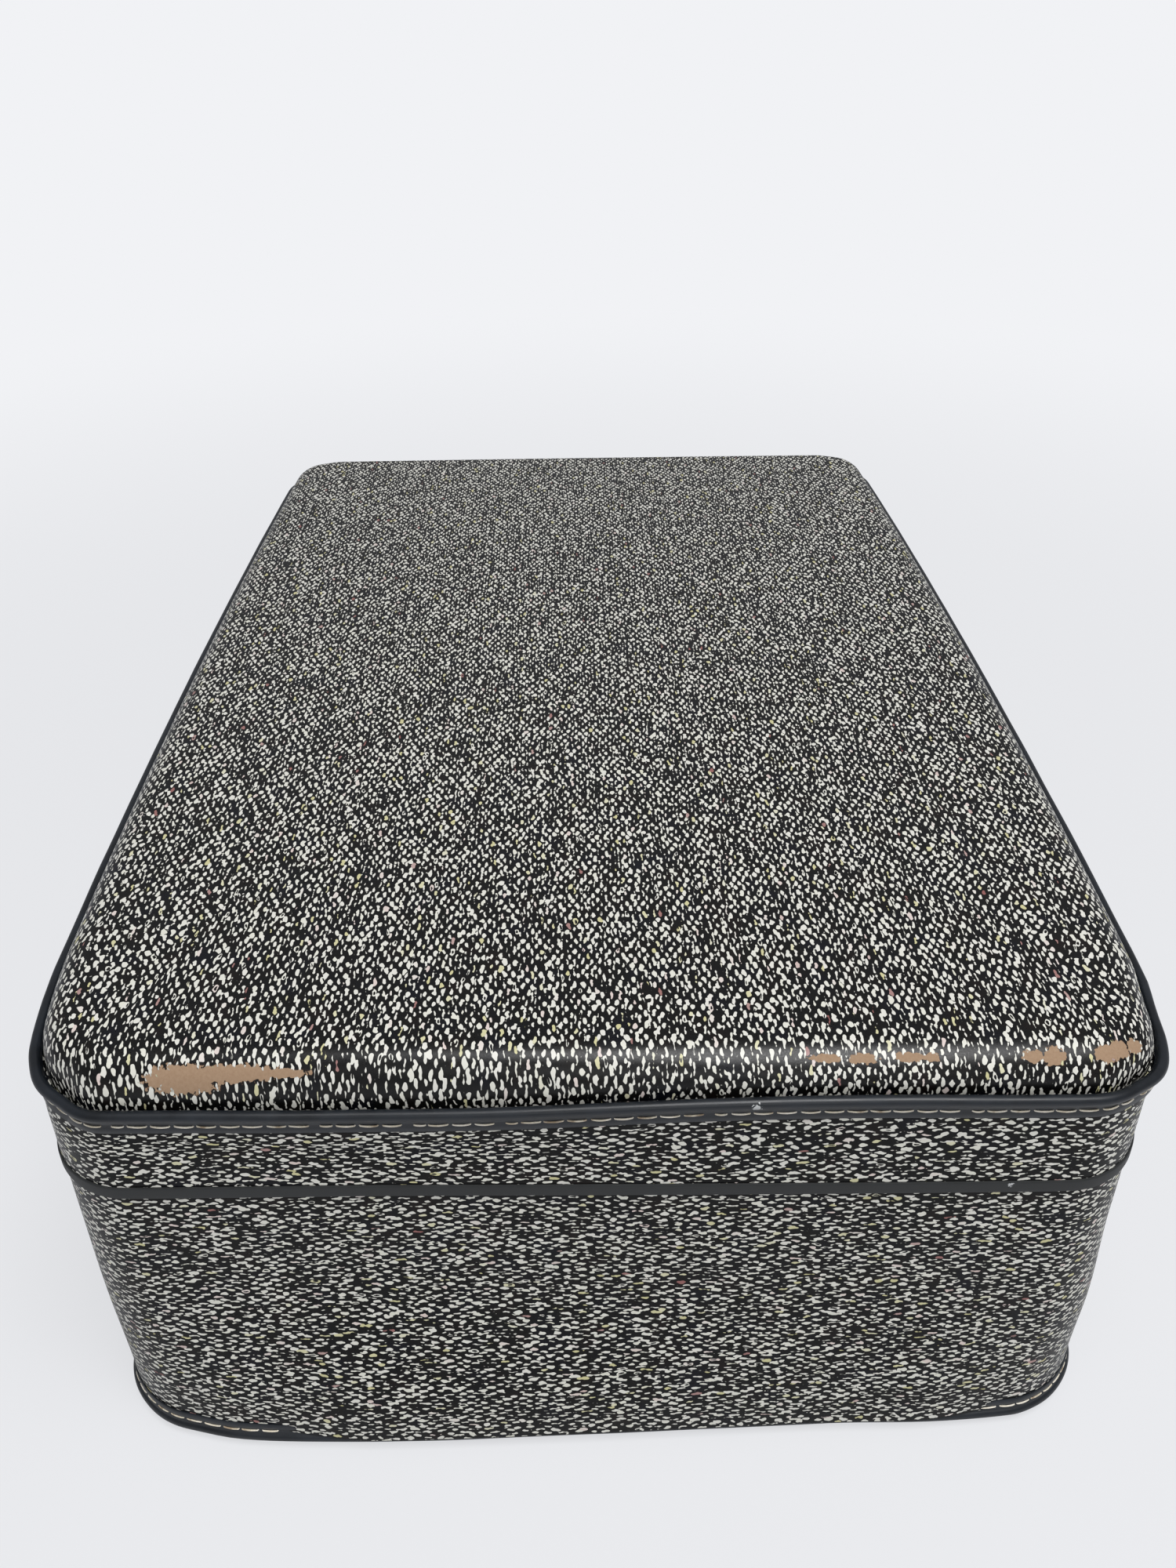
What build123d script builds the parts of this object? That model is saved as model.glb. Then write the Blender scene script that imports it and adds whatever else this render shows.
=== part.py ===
# Fibreboard suitcase, lying on its base panel with the lid up.
# X runs along its length, the front with the handle and the locks faces -Y,
# the hinges are on the +Y side, and Z = 0 is the flat of the base panel. Millimetres.
import os
from math import asin, cos, degrees, hypot, sin

from build123d import *

# Overall sizes, measured over the piping of the lid
LENGTH = 627.0
WIDTH = 416.0
HEIGHT = 200.4
LONG_BOW = 5.5
END_BOW = 1.2
CORNER_R = 36.0

# Heights
LID_DEPTH = 60.4
SEAM_GAP = 0.3
LID_BEAD_DROP = 15.9
LID_SHOULDER_R = 14.0
BASE_BEAD_Z = 5.3
BASE_SHOULDER = 3.6

# Sheet thicknesses: fibreboard with its printed vinyl film and its pasted lining paper
LID_WALL_T = 2.8
LID_TOP_T = 2.8
BODY_WALL_T = 3.4
BASE_T = 2.8
SKIRT_T = 2.0
PANEL_T = 1.6
PANEL_CLEAR = 0.4
LID_HOLLOW_CUT = 8.0
BASE_HOLLOW_CUT = 1.5

# Piping: a round bead with a sewn flange
BEAD_R = 2.8
BEAD_SIDES = 8
FLANGE_T = 0.6
FLANGE_H = 5.7
SKIRT_PAST_FLANGE = 4.0

# Edge strip of the lid and the locating frame inside the case
STRIP_T = 0.8
STRIP_WEB = 0.6
STRIP_LEG = 0.5
STRIP_H = 5.5
STRIP_INNER_H = 4.0
LIP_T = 1.8
LIP_CLEAR = 0.5
LIP_RISE = 9.0
LIP_DEPTH = 38.0

# Hinges
HINGE_X = 190.0
HINGE_W = 44.0
HINGE_LEAF_T = 1.0
HINGE_LEAF_H = 25.0
HINGE_KNUCKLE_R = 2.6
HINGE_PIN_R = 1.25
HINGE_CLEAR = 0.3
KNUCKLE_GAP = 0.2
RUNNING = 0.05
STOP_LUG_REACH = 1.6
STOP_LUG_T = 1.2
STOP_LUG_ANGLE = 30.0

# Locks
LOCK_X = 200.0
LOCK_W = 52.0
LOCK_TOP = 3.0
LOCK_H = 26.0
LOCK_D = 6.0
LOCK_WALL = 0.8
LOCK_CORNER = 2.0
BACKPLATE_W = 68.0
BACKPLATE_T = 1.0
STAPLE_Z = 12.5
STAPLE_T = 1.8
STAPLE_H = 9.0
NOTCH_W = 7.0
BOLT_H = 3.0
BOLT_T = 1.7
BOLT_PLAY = 0.3
SLIDE_TRAVEL = 6.0
BUTTON_X = 19.5
BUTTON_W = 7.0
BUTTON_H = 9.0
BUTTON_T = 3.0
STEM_W = 2.5
BARREL_X = 16.5
BARREL_R = 4.5

# Hasps, hung on the lid over each lock
HASP_AXIS_Z = 10.0
HASP_KNUCKLE_R = 2.2
HASP_PIN_R = 1.0
HASP_T = 1.3
HASP_W = 16.0
HASP_NECK = 8.8
HASP_TIP_Z = 27.0
HASP_PLATE_W = 30.0
HASP_PLATE_H = 17.0
HASP_PLATE_T = 1.0
HASP_LIFT = 0.3

# Handle
HANDLE_HALF = 56.0
HANDLE_BELOW_SEAM = 22.0
HANDLE_OUT = 9.0
HANDLE_DROP = 38.0
HANDLE_BEND = 20.0
GRIP_THICK = 13.6
GRIP_DEEP = 12.6
GRIP_EDGE = 3.8
HANDLE_PIN_R = 2.0
EYE_R = 4.2
EYE_W = 8.6
EYE_PLAY = 0.2
EAR_T = 1.4
EAR_ROOT = 8.0
BRACKET_W = 30.0
BRACKET_H = 22.0
BRACKET_T = 1.0
LOOP_T = 3.0
CORE_T = 2.0
CORE_W = 7.0

# Fasteners and feet. Small round bars and bores have flats, so that they stay light
ROUND_SIDES = 16
RIVET_HEAD_R = 2.5
RIVET_HEAD_H = 1.0
RIVET_SIDES = 10
RIVET_TAPER = 35.0
FOOT_X = 250.0
FOOT_LOW_Z = 30.0
FOOT_BELOW_SEAM = 32.0
FOOT_R = 9.0
FOOT_SIDES = 16
FOOT_RIM = 3.0
FOOT_H = 10.0
FOOT_TAPER = 32.0

# Packing straps and lid pocket
STRAP_X = 140.0
STRAP_W = 26.0
STRAP_T = 1.2
STRAP_RISE = 34.0
STRAP_BEND = 9.0
STRAP_CLEAR = 0.3
BUCKLE_L = 26.0
BUCKLE_BAR = 3.0
BUCKLE_T = 2.0
ANCHOR_H = 10.0
ANCHOR_T = 0.8
POCKET_L = 470.0
POCKET_D = 235.0
POCKET_T = 3.0
HEM_D = 9.0
HEM_T = 4.0

# Insets of each face from the outermost line of the lid's piping
LID_IN = 2 * BEAD_R
LID_FACE = LID_IN - LID_WALL_T
BODY_IN = LID_IN + STRIP_LEG + LIP_CLEAR
BODY_FACE = BODY_IN - BODY_WALL_T
BODY_STEP = BODY_FACE - LID_FACE
BASE_BEAD_IN = BODY_IN - 2 * BEAD_R

# Heights that follow from the others
SEAM_Z = HEIGHT - LID_DEPTH
LID_BEAD_Z = HEIGHT - LID_BEAD_DROP
LID_WALL_TOP = LID_BEAD_Z - BEAD_R
LID_FLANGE_Z = LID_WALL_TOP - FLANGE_H
BODY_BOTTOM = BASE_BEAD_Z + BEAD_R
BODY_TOP = SEAM_Z - SEAM_GAP
BASE_FLANGE_Z = BODY_BOTTOM + FLANGE_H
BASE_SKIRT_Z = BASE_FLANGE_Z + SKIRT_PAST_FLANGE
LID_SKIRT_Z = LID_FLANGE_Z - SKIRT_PAST_FLANGE
LIP_TOP = SEAM_Z + LIP_RISE
LIP_BOTTOM = SEAM_Z - LIP_DEPTH
HANDLE_Z = SEAM_Z - HANDLE_BELOW_SEAM
FOOT_Z = (FOOT_LOW_Z, SEAM_Z - FOOT_BELOW_SEAM)

# Places across a lock, measured out from the front wall
BOLT_Y = -(BACKPLATE_T + LOCK_D - LOCK_WALL) / 2 - BOLT_PLAY
HASP_AXIS_Y = -(BODY_STEP + HASP_KNUCKLE_R + HASP_LIFT)

# Plan outline: radii and centres of the bowed sides, and the centre of a corner
HALF_X = LENGTH / 2
HALF_Y = WIDTH / 2
LONG_R = (HALF_X**2 + LONG_BOW**2) / (2 * LONG_BOW)
END_R = ((HALF_Y - LONG_BOW) ** 2 + END_BOW**2) / (2 * END_BOW)
LONG_C = (0.0, LONG_R - HALF_Y)
END_C = (HALF_X - END_R, 0.0)


def circles_meet(a, ra, b, rb):
    """The meeting point of two circles that lies on the +X, -Y side."""
    dx, dy = b[0] - a[0], b[1] - a[1]
    d = hypot(dx, dy)
    along = (d * d + ra * ra - rb * rb) / (2 * d)
    off = (ra * ra - along * along) ** 0.5
    foot = (a[0] + along * dx / d, a[1] + along * dy / d)
    both = [(foot[0] + s * off * dy / d, foot[1] - s * off * dx / d) for s in (1, -1)]
    return max(both, key=lambda p: p[0] - p[1])


CORNER_C = circles_meet(LONG_C, LONG_R - CORNER_R, END_C, END_R - CORNER_R)


def beyond(start, through, radius):
    """The point at radius from start on the line through another point."""
    dx, dy = through[0] - start[0], through[1] - start[1]
    d = hypot(dx, dy)
    return (start[0] + dx / d * radius, start[1] + dy / d * radius)


def outline_wire(inset):
    """Closed plan line of the case, moved in by inset: four bowed sides and four round corners."""
    long_end = beyond(LONG_C, CORNER_C, LONG_R - inset)
    short_end = beyond(END_C, CORNER_C, END_R - inset)
    middle = ((long_end[0] + short_end[0]) / 2, (long_end[1] + short_end[1]) / 2)
    bend = beyond(CORNER_C, middle, CORNER_R - inset)

    def at(point, sx, sy):
        return (sx * point[0], sy * point[1])

    edges = []
    front = (0.0, inset - HALF_Y)
    end = (HALF_X - inset, 0.0)
    edges.append(ThreePointArc(at(long_end, -1, 1), front, long_end))
    edges.append(ThreePointArc(long_end, bend, short_end))
    edges.append(ThreePointArc(short_end, end, at(short_end, 1, -1)))
    edges.append(ThreePointArc(at(short_end, 1, -1), at(bend, 1, -1), at(long_end, 1, -1)))
    edges.append(ThreePointArc(at(long_end, 1, -1), at(front, 1, -1), at(long_end, -1, -1)))
    edges.append(ThreePointArc(at(long_end, -1, -1), at(bend, -1, -1), at(short_end, -1, -1)))
    edges.append(ThreePointArc(at(short_end, -1, -1), at(end, -1, 1), at(short_end, -1, 1)))
    edges.append(ThreePointArc(at(short_end, -1, 1), at(bend, -1, 1), at(long_end, -1, 1)))
    return Wire(edges)


def slab(inset, z0, z1):
    """Solid on the plan outline between two heights."""
    return Pos(0, 0, z0) * extrude(Face(outline_wire(inset)), amount=z1 - z0)


def band(outer, inner, z0, z1):
    """Upright band between two insets of the plan outline."""
    ring = Face(outline_wire(outer), [outline_wire(inner)])
    return Pos(0, 0, z0) * extrude(ring, amount=z1 - z0)


def box(x0, x1, y0, y1, z0, z1):
    """Block between two corners."""
    middle = Pos((x0 + x1) / 2, (y0 + y1) / 2, (z0 + z1) / 2)
    return middle * Box(abs(x1 - x0), abs(y1 - y0), abs(z1 - z0))


def round_bar(radius, length, bore):
    """Round bar about Z with flats. A bore's flats touch its radius, so a bar of that radius turns in it."""
    return extrude(RegularPolygon(radius, ROUND_SIDES, major_radius=not bore), amount=length / 2, both=True)


def rod_x(radius, x0, x1, y, z, bore=False):
    """Round bar, or the bore for one, along X."""
    return Pos((x0 + x1) / 2, y, z) * Rot(0, 90, 0) * round_bar(radius, abs(x1 - x0), bore)


def rod_y(radius, x, y0, y1, z, bore=False):
    """Round bar, or the bore for one, along Y."""
    return Pos(x, (y0 + y1) / 2, z) * Rot(90, 0, 0) * round_bar(radius, abs(y1 - y0), bore)


def wall_angle(x, inset=BODY_FACE):
    """How far a long side has turned about Z at x."""
    return asin(x / (LONG_R - inset))


def front_frame(x, inset=BODY_FACE):
    """Frame on the face of the front wall at x: X along the wall, -Y outwards, Z from the seam."""
    turn = wall_angle(x, inset)
    reach = LONG_R - inset
    return Location((reach * sin(turn), LONG_C[1] - reach * cos(turn), SEAM_Z), (0, 0, degrees(turn)))


def rear_frame(x, z, inset):
    """Frame on the face of the rear wall: X along the wall, +Y outwards."""
    turn = wall_angle(x, inset)
    return Location((x, rear_face(x, inset), z), (0, 0, -degrees(turn)))


def rear_face(x, inset):
    """Y of the rear wall's face at x."""
    return (LONG_R - inset) * cos(wall_angle(x, inset)) - LONG_C[1]


def rivet(out=-1):
    """Tapered rivet head at a plate's face; out is the outward sign of Y."""
    head = extrude(RegularPolygon(RIVET_HEAD_R, RIVET_SIDES), amount=RIVET_HEAD_H, taper=RIVET_TAPER)
    return Rot(-90 * out, 0, 0) * head


def plate_xz(width, height, corner, y0, y1, z_mid):
    """Flat plate on a wall with cut corners."""
    sketch = Plane.XZ * chamfer(Rectangle(width, height).vertices(), corner)
    return Pos(0, y0, z_mid) * extrude(sketch, amount=y0 - y1)


# Places of the rivets, as local points on their plates
LOCK_RIVETS = [(sx * (BACKPLATE_W / 2 - 4), -LOCK_TOP - LOCK_H / 2) for sx in (-1, 1)]
HASP_RIVETS = [(sx * 10.0, HASP_AXIS_Z + HASP_KNUCKLE_R + 10.0) for sx in (-1, 1)]
BRACKET_RIVETS = [(sx * HANDLE_HALF + dx, HANDLE_Z - SEAM_Z) for sx in (-1, 1) for dx in (-11, 11)]
HINGE_RIVETS = [(dx, HINGE_LEAF_H - 10.0) for dx in (-13.0, 13.0)]
HINGE_AXIS_Y = rear_face(0, min(LID_FACE, BODY_FACE)) + HINGE_CLEAR + HINGE_KNUCKLE_R
HINGE_AXIS_Z = SEAM_Z - SEAM_GAP / 2


def lock_frames():
    """Left and right lock frames, with their names."""
    return (("left", front_frame(-LOCK_X)), ("right", front_frame(LOCK_X)))


def case_shells():
    """The lower half: bent wall, base pan, locating frame and the loose panel on the floor."""
    base = slab(BODY_IN, 0.0, BASE_SKIRT_Z)
    base = chamfer(base.faces().sort_by(Axis.Z)[0].edges(), BASE_SHOULDER)
    hollow = slab(BODY_IN + SKIRT_T, BASE_T, BASE_SKIRT_Z)
    hollow = chamfer(hollow.faces().sort_by(Axis.Z)[0].edges(), BASE_HOLLOW_CUT)
    panel_in = BODY_IN + SKIRT_T + BASE_HOLLOW_CUT + PANEL_CLEAR
    return {
        "case_wall_board": band(BODY_FACE, BODY_IN, BODY_BOTTOM, BODY_TOP),
        "case_base_board": base - hollow,
        "case_locating_frame": band(BODY_IN, BODY_IN + LIP_T, LIP_BOTTOM, LIP_TOP),
        "case_floor_panel": slab(panel_in, BASE_T, BASE_T + PANEL_T),
    }


def lid_shells():
    """The upper half: bent wall, moulded top and the loose panel under it."""
    ceiling = HEIGHT - LID_TOP_T
    top = slab(LID_IN, LID_SKIRT_Z, HEIGHT)
    top = fillet(top.faces().sort_by(Axis.Z)[-1].edges(), LID_SHOULDER_R)
    hollow = slab(LID_IN + SKIRT_T, LID_SKIRT_Z, ceiling)
    hollow = chamfer(hollow.faces().sort_by(Axis.Z)[-1].edges(), LID_HOLLOW_CUT)
    panel_in = LID_IN + SKIRT_T + LID_HOLLOW_CUT + PANEL_CLEAR
    return {
        "lid_wall_board": band(LID_FACE, LID_IN, SEAM_Z + STRIP_WEB, LID_WALL_TOP),
        "lid_top_board": top - hollow,
        "lid_ceiling_panel": slab(panel_in, ceiling - PANEL_T, ceiling),
    }


def piping(bead_in, bead_z, face, flange_z):
    """Round bead swept along the plan outline, with the flange that is sewn to the wall."""
    path = Pos(0, 0, bead_z) * outline_wire(bead_in + BEAD_R)
    section = RegularPolygon(BEAD_R, BEAD_SIDES, major_radius=False, rotation=180 / BEAD_SIDES)
    bead = sweep((path ^ 0) * section, path=path)
    flange = band(face - FLANGE_T, face, min(bead_z, flange_z), max(bead_z, flange_z))
    return bead + flange


def edge_strip():
    """U-shaped strip clamped over the lid's lower edge, notched for each hinge leaf."""
    outer = LID_FACE - STRIP_T
    strip = band(outer, LID_IN + STRIP_LEG, SEAM_Z, SEAM_Z + STRIP_WEB)
    strip += band(outer, LID_FACE, SEAM_Z + STRIP_WEB, SEAM_Z + STRIP_H)
    strip += band(LID_IN, LID_IN + STRIP_LEG, SEAM_Z + STRIP_WEB, SEAM_Z + STRIP_INNER_H)
    half = HINGE_W / 2 + KNUCKLE_GAP
    top = SEAM_Z + STRIP_H
    for side in (-1, 1):
        x = side * HINGE_X
        strip -= box(x - half, x + half, 0, HALF_Y, SEAM_Z, top) - slab(LID_FACE, SEAM_Z, top)
    return strip


def hinge_leaf(x, up):
    """Leaf that follows the bowed wall; up is 1 for the lid's leaf and -1 for the case's."""
    face = LID_FACE if up > 0 else BODY_FACE
    start = HINGE_KNUCKLE_R + HINGE_CLEAR
    half = HINGE_W / 2
    z0, z1 = sorted((HINGE_AXIS_Z + up * start, HINGE_AXIS_Z + up * HINGE_LEAF_H))
    leaf = band(face - HINGE_LEAF_T, face, z0, z1)
    leaf &= box(x - half, x + half, 0, HALF_Y + 1, z0, z1)
    return leaf


def knuckle(x0, x1):
    """Rolled barrel about the hinge axis, without its bore."""
    return rod_x(HINGE_KNUCKLE_R, x0, x1, HINGE_AXIS_Y, HINGE_AXIS_Z)


def hinge(side):
    """One hinge: the case's leaf has two knuckles and a stop, the lid's leaf has one and a lug."""
    x = side * HINGE_X
    half = HINGE_W / 2
    third = HINGE_W / 6
    start = HINGE_KNUCKLE_R + HINGE_CLEAR
    wall_y = rear_face(abs(x) + half, LID_FACE) - 0.1
    lower = hinge_leaf(x, -1)
    upper = hinge_leaf(x, 1)
    inner = box(x - half, x + half, 0, HALF_Y + 1, 0, HEIGHT) & slab(LID_FACE, 0, HEIGHT)
    body = box(x - half, x + half, 0, HALF_Y + 1, 0, HEIGHT) & slab(BODY_FACE, 0, HEIGHT)
    for x0, x1 in ((x - half, x - third - KNUCKLE_GAP), (x + third + KNUCKLE_GAP, x + half)):
        lower += knuckle(x0, x1)
        lower += box(x0, x1, wall_y - 1, HINGE_AXIS_Y - 1, HINGE_AXIS_Z - start, HINGE_AXIS_Z - 0.4) - body
    x0, x1 = x - third, x + third
    upper += knuckle(x0, x1)
    upper += box(x0, x1, wall_y - 1, HINGE_AXIS_Y - 1.9, HINGE_AXIS_Z, HINGE_AXIS_Z + start) - inner
    lug_r = HINGE_KNUCKLE_R + STOP_LUG_REACH
    lug = box(x0 + 4, x1 - 4, HINGE_KNUCKLE_R - 0.5, lug_r, -STOP_LUG_T / 2, STOP_LUG_T / 2)
    upper += Pos(0, HINGE_AXIS_Y, HINGE_AXIS_Z) * (Rot(STOP_LUG_ANGLE, 0, 0) * lug)
    catch_y = HINGE_AXIS_Y + 0.2
    catch_z = HINGE_AXIS_Z - HINGE_KNUCKLE_R - 0.4
    lower += box(x0 + 3, x1 - 3, wall_y - 1, catch_y, catch_z - STOP_LUG_T, catch_z) - body
    lower -= rod_x(HINGE_PIN_R, x - half, x + half, HINGE_AXIS_Y, HINGE_AXIS_Z)
    upper -= rod_x(HINGE_PIN_R + RUNNING, x - half, x + half, HINGE_AXIS_Y, HINGE_AXIS_Z, bore=True)
    pin = rod_x(HINGE_PIN_R, x - half, x + half, HINGE_AXIS_Y, HINGE_AXIS_Z)
    return lower, upper, pin


def hinges():
    """Both hinges with their pins and rivets."""
    left, right = hinge(-1), hinge(1)
    lower_rivets, upper_rivets = [], []
    for side in (-1, 1):
        for dx, dz in HINGE_RIVETS:
            there = side * HINGE_X + dx
            head = Pos(0, HINGE_LEAF_T, 0) * rivet(1)
            lower_rivets.append(rear_frame(there, HINGE_AXIS_Z - dz, BODY_FACE) * head)
            upper_rivets.append(rear_frame(there, HINGE_AXIS_Z + dz, LID_FACE) * head)
    return {
        "hinge_case_leaf_left": left[0],
        "hinge_case_leaf_right": right[0],
        "hinge_lid_leaf_left": left[1],
        "hinge_lid_leaf_right": right[1],
        "hinge_pins": Compound([left[2], right[2]]),
        "hinge_case_rivets": Compound(lower_rivets),
        "hinge_lid_rivets": Compound(upper_rivets),
    }


def lock_housing():
    """Pressed cover of a lock: rounded shell with the hasp's notch, the slide's slot and the barrel's hole."""
    z_mid = -LOCK_TOP - LOCK_H / 2
    outer = box(-LOCK_W / 2, LOCK_W / 2, -LOCK_D, -BACKPLATE_T, z_mid - LOCK_H / 2, z_mid + LOCK_H / 2)
    outer = chamfer(outer.edges().filter_by(Axis.Y), LOCK_CORNER)
    outer = chamfer(outer.faces().sort_by(Axis.Y)[0].edges(), LOCK_WALL)
    half_w, half_h = LOCK_W / 2 - LOCK_WALL, LOCK_H / 2 - LOCK_WALL
    hollow = box(-half_w, half_w, LOCK_WALL - LOCK_D, 0, z_mid - half_h, z_mid + half_h)
    hollow = chamfer(hollow.edges().filter_by(Axis.Y), LOCK_CORNER)
    shell = outer - hollow
    notch_z = -STAPLE_Z - STAPLE_H / 2 - 1.0
    shell -= box(-NOTCH_W / 2, NOTCH_W / 2, -LOCK_D - 1, -BACKPLATE_T - 0.2, notch_z, 0)
    slot_l = SLIDE_TRAVEL + STEM_W + 2 * BOLT_PLAY
    slot_x = SLIDE_TRAVEL / 2 - BUTTON_X
    slot_z = STEM_W / 2 + BOLT_PLAY
    shell -= box(slot_x - slot_l / 2, slot_x + slot_l / 2, -LOCK_D - 1, -LOCK_D + 2,
                 -STAPLE_Z - slot_z, -STAPLE_Z + slot_z)
    return shell - rod_y(BARREL_R + RUNNING, BARREL_X, -LOCK_D - 1, -LOCK_D + 2, -STAPLE_Z, bore=True)


def lock_backplate():
    """Riveted plate behind a lock, with the two rails that guide its bolt."""
    z_mid = -LOCK_TOP - LOCK_H / 2
    plate = plate_xz(BACKPLATE_W, LOCK_H + 2, 5.0, 0, -BACKPLATE_T, z_mid)
    rail_y = BOLT_Y - BOLT_T / 2
    for side in (-1, 1):
        z = -STAPLE_Z + side * (BOLT_H / 2 + BOLT_PLAY)
        plate += box(-BUTTON_X, -NOTCH_W, rail_y, -BACKPLATE_T, z, z + side * 1.2)
    return plate



def slide_bolt():
    """Bolt that runs along the lock into the eye of the hasp's staple."""
    nose = -STAPLE_T / 2 - 1.5
    bar = box(-BUTTON_X - 3, nose, BOLT_Y - BOLT_T / 2, BOLT_Y + BOLT_T / 2,
              -STAPLE_Z - BOLT_H / 2, -STAPLE_Z + BOLT_H / 2)
    tip = bar.faces().sort_by(Axis.X)[-1].edges().filter_by(Axis.Y)
    return chamfer(tip, BOLT_H / 3)


def slide_button():
    """Ribbed thumb piece on its stem."""
    x0, x1 = -BUTTON_X - BUTTON_W / 2, -BUTTON_X + BUTTON_W / 2
    face = -LOCK_D - BOLT_PLAY
    pad = box(x0, x1, face - BUTTON_T, face, -STAPLE_Z - BUTTON_H / 2, -STAPLE_Z + BUTTON_H / 2)
    pad = chamfer(pad.edges().filter_by(Axis.Y), 0.9)
    pad = chamfer(pad.faces().sort_by(Axis.Y)[0].edges(), 0.6)
    for step in (-1.8, 0.0, 1.8):
        x = -BUTTON_X + step
        groove_y = face - BUTTON_T
        pad -= box(x - 0.35, x + 0.35, groove_y - 1, groove_y + 0.7, -STAPLE_Z - 3, -STAPLE_Z + 3)
    half = STEM_W / 2
    stem = box(-BUTTON_X - half, -BUTTON_X + half, face, BOLT_Y - BOLT_T / 2,
               -STAPLE_Z - half, -STAPLE_Z + half)
    return pad + stem


def key_barrel():
    """Round lock barrel with a plain keyhole."""
    barrel = rod_y(BARREL_R, BARREL_X, -LOCK_D - 1.0, -BACKPLATE_T, -STAPLE_Z)
    depth = -LOCK_D + 1.5
    hole = rod_y(1.1, BARREL_X, -LOCK_D - 2, depth, -STAPLE_Z + 0.8)
    hole += box(BARREL_X - 0.5, BARREL_X + 0.5, -LOCK_D - 2, depth, -STAPLE_Z - 2.6, -STAPLE_Z + 0.8)
    return barrel - hole


def hasp():
    """Sprung-over arm: a knuckle, a joggled plate over the lock and a curled finger tip."""
    inner = -LOCK_D - HASP_LIFT
    outer = inner - HASP_T
    root_out = HASP_AXIS_Y - HASP_KNUCKLE_R
    root_in = root_out + HASP_T
    curl = 5.0
    side = [
        (root_in, HASP_AXIS_Z),
        (root_in, HASP_AXIS_Z - 3.6),
        (inner, 1.0),
        (inner, -HASP_TIP_Z + curl),
        (inner - 3.0, -HASP_TIP_Z),
        (outer - 3.0, -HASP_TIP_Z + 0.9),
        (outer, -HASP_TIP_Z + curl + 0.7),
        (outer, 1.6),
        (root_out, HASP_AXIS_Z - 3.0),
        (root_out, HASP_AXIS_Z),
    ]
    profile = make_face(Plane.YZ * Polyline(*side, close=True))
    arm = Pos(-HASP_W / 2, 0, 0) * extrude(profile, amount=HASP_W, dir=(1, 0, 0))
    shoulder_z = HASP_AXIS_Z - HASP_KNUCKLE_R - 0.8
    tip = (0, -HASP_TIP_Z - 1)
    half, neck = HASP_W / 2, HASP_NECK / 2
    plan = make_face(Plane.XZ * Curve([
        Polyline((-half, -HASP_TIP_Z + 5), (-half + 1, shoulder_z), (-neck, shoulder_z),
                 (-neck, HASP_AXIS_Z + 1), (neck, HASP_AXIS_Z + 1), (neck, shoulder_z),
                 (half - 1, shoulder_z), (half, -HASP_TIP_Z + 5)),
        ThreePointArc((half, -HASP_TIP_Z + 5), tip, (-half, -HASP_TIP_Z + 5)),
    ]))
    arm &= extrude(plan, amount=2 * LOCK_D + 10, both=True)
    arm += rod_x(HASP_KNUCKLE_R, -neck, neck, HASP_AXIS_Y, HASP_AXIS_Z)
    return arm - rod_x(HASP_PIN_R + RUNNING, -neck, neck, HASP_AXIS_Y, HASP_AXIS_Z, bore=True)


def staple():
    """Eye plate behind the hasp that the bolt shoots through."""
    inner = -LOCK_D - HASP_LIFT
    deep = -BACKPLATE_T - 0.7
    half = STAPLE_T / 2
    plate = box(-half, half, inner, deep, -STAPLE_Z - STAPLE_H / 2, -STAPLE_Z + STAPLE_H / 2)
    plate = chamfer(plate.edges().filter_by(Axis.X).group_by(Axis.Y)[-1], 1.2)
    eye = BOLT_H / 2 + 2 * BOLT_PLAY
    return plate - box(-half, half, BOLT_Y - BOLT_T / 2 - BOLT_PLAY, BOLT_Y + BOLT_T / 2 + BOLT_PLAY,
                       -STAPLE_Z - eye, -STAPLE_Z + eye)


def hasp_plate():
    """Plate on the lid that carries a hasp between two knuckles."""
    face = -BODY_STEP
    z0 = HASP_AXIS_Z + HASP_KNUCKLE_R + 0.5
    plate = plate_xz(HASP_PLATE_W, HASP_PLATE_H, 4.0, face, face - HASP_PLATE_T, z0 + HASP_PLATE_H / 2)
    neck = HASP_NECK / 2 + KNUCKLE_GAP
    half = HASP_W / 2 + 1.0
    for x0, x1 in ((-half, -neck), (neck, half)):
        plate += rod_x(HASP_KNUCKLE_R, x0, x1, HASP_AXIS_Y, HASP_AXIS_Z)
        plate += box(x0, x1, HASP_AXIS_Y, face, HASP_AXIS_Z, z0 + 1)
    return plate - rod_x(HASP_PIN_R, -half, half, HASP_AXIS_Y, HASP_AXIS_Z)


def locks():
    """Both locks, hasps and their fasteners, mirrored about the middle of the case."""
    parts = {}
    lock_rivets, plate_rivets, hasp_pins = [], [], []
    half = HASP_W / 2 + 1.0
    makers = {
        "lock_backplate": lock_backplate,
        "lock_housing": lock_housing,
        "key_barrel": key_barrel,
        "slide_bolt": slide_bolt,
        "slide_button": slide_button,
        "hasp": hasp,
        "hasp_staple": staple,
        "hasp_plate": hasp_plate,
    }
    solids = {name: make() for name, make in makers.items()}
    for side, frame in lock_frames():
        for name, solid in solids.items():
            local = solid if side == "right" else mirror(solid, Plane.YZ)
            parts[f"{name}_{side}"] = frame * local
        lock_rivets += [frame * (Pos(x, -BACKPLATE_T, z) * rivet()) for x, z in LOCK_RIVETS]
        y = -BODY_STEP - HASP_PLATE_T
        plate_rivets += [frame * (Pos(x, y, z) * rivet()) for x, z in HASP_RIVETS]
        pin = rod_x(HASP_PIN_R, -half, half, HASP_AXIS_Y, HASP_AXIS_Z)
        hasp_pins.append(frame * pin)
    parts["lock_rivets"] = Compound(lock_rivets)
    parts["hasp_plate_rivets"] = Compound(plate_rivets)
    parts["hasp_pins"] = Compound(hasp_pins)
    return parts


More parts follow.
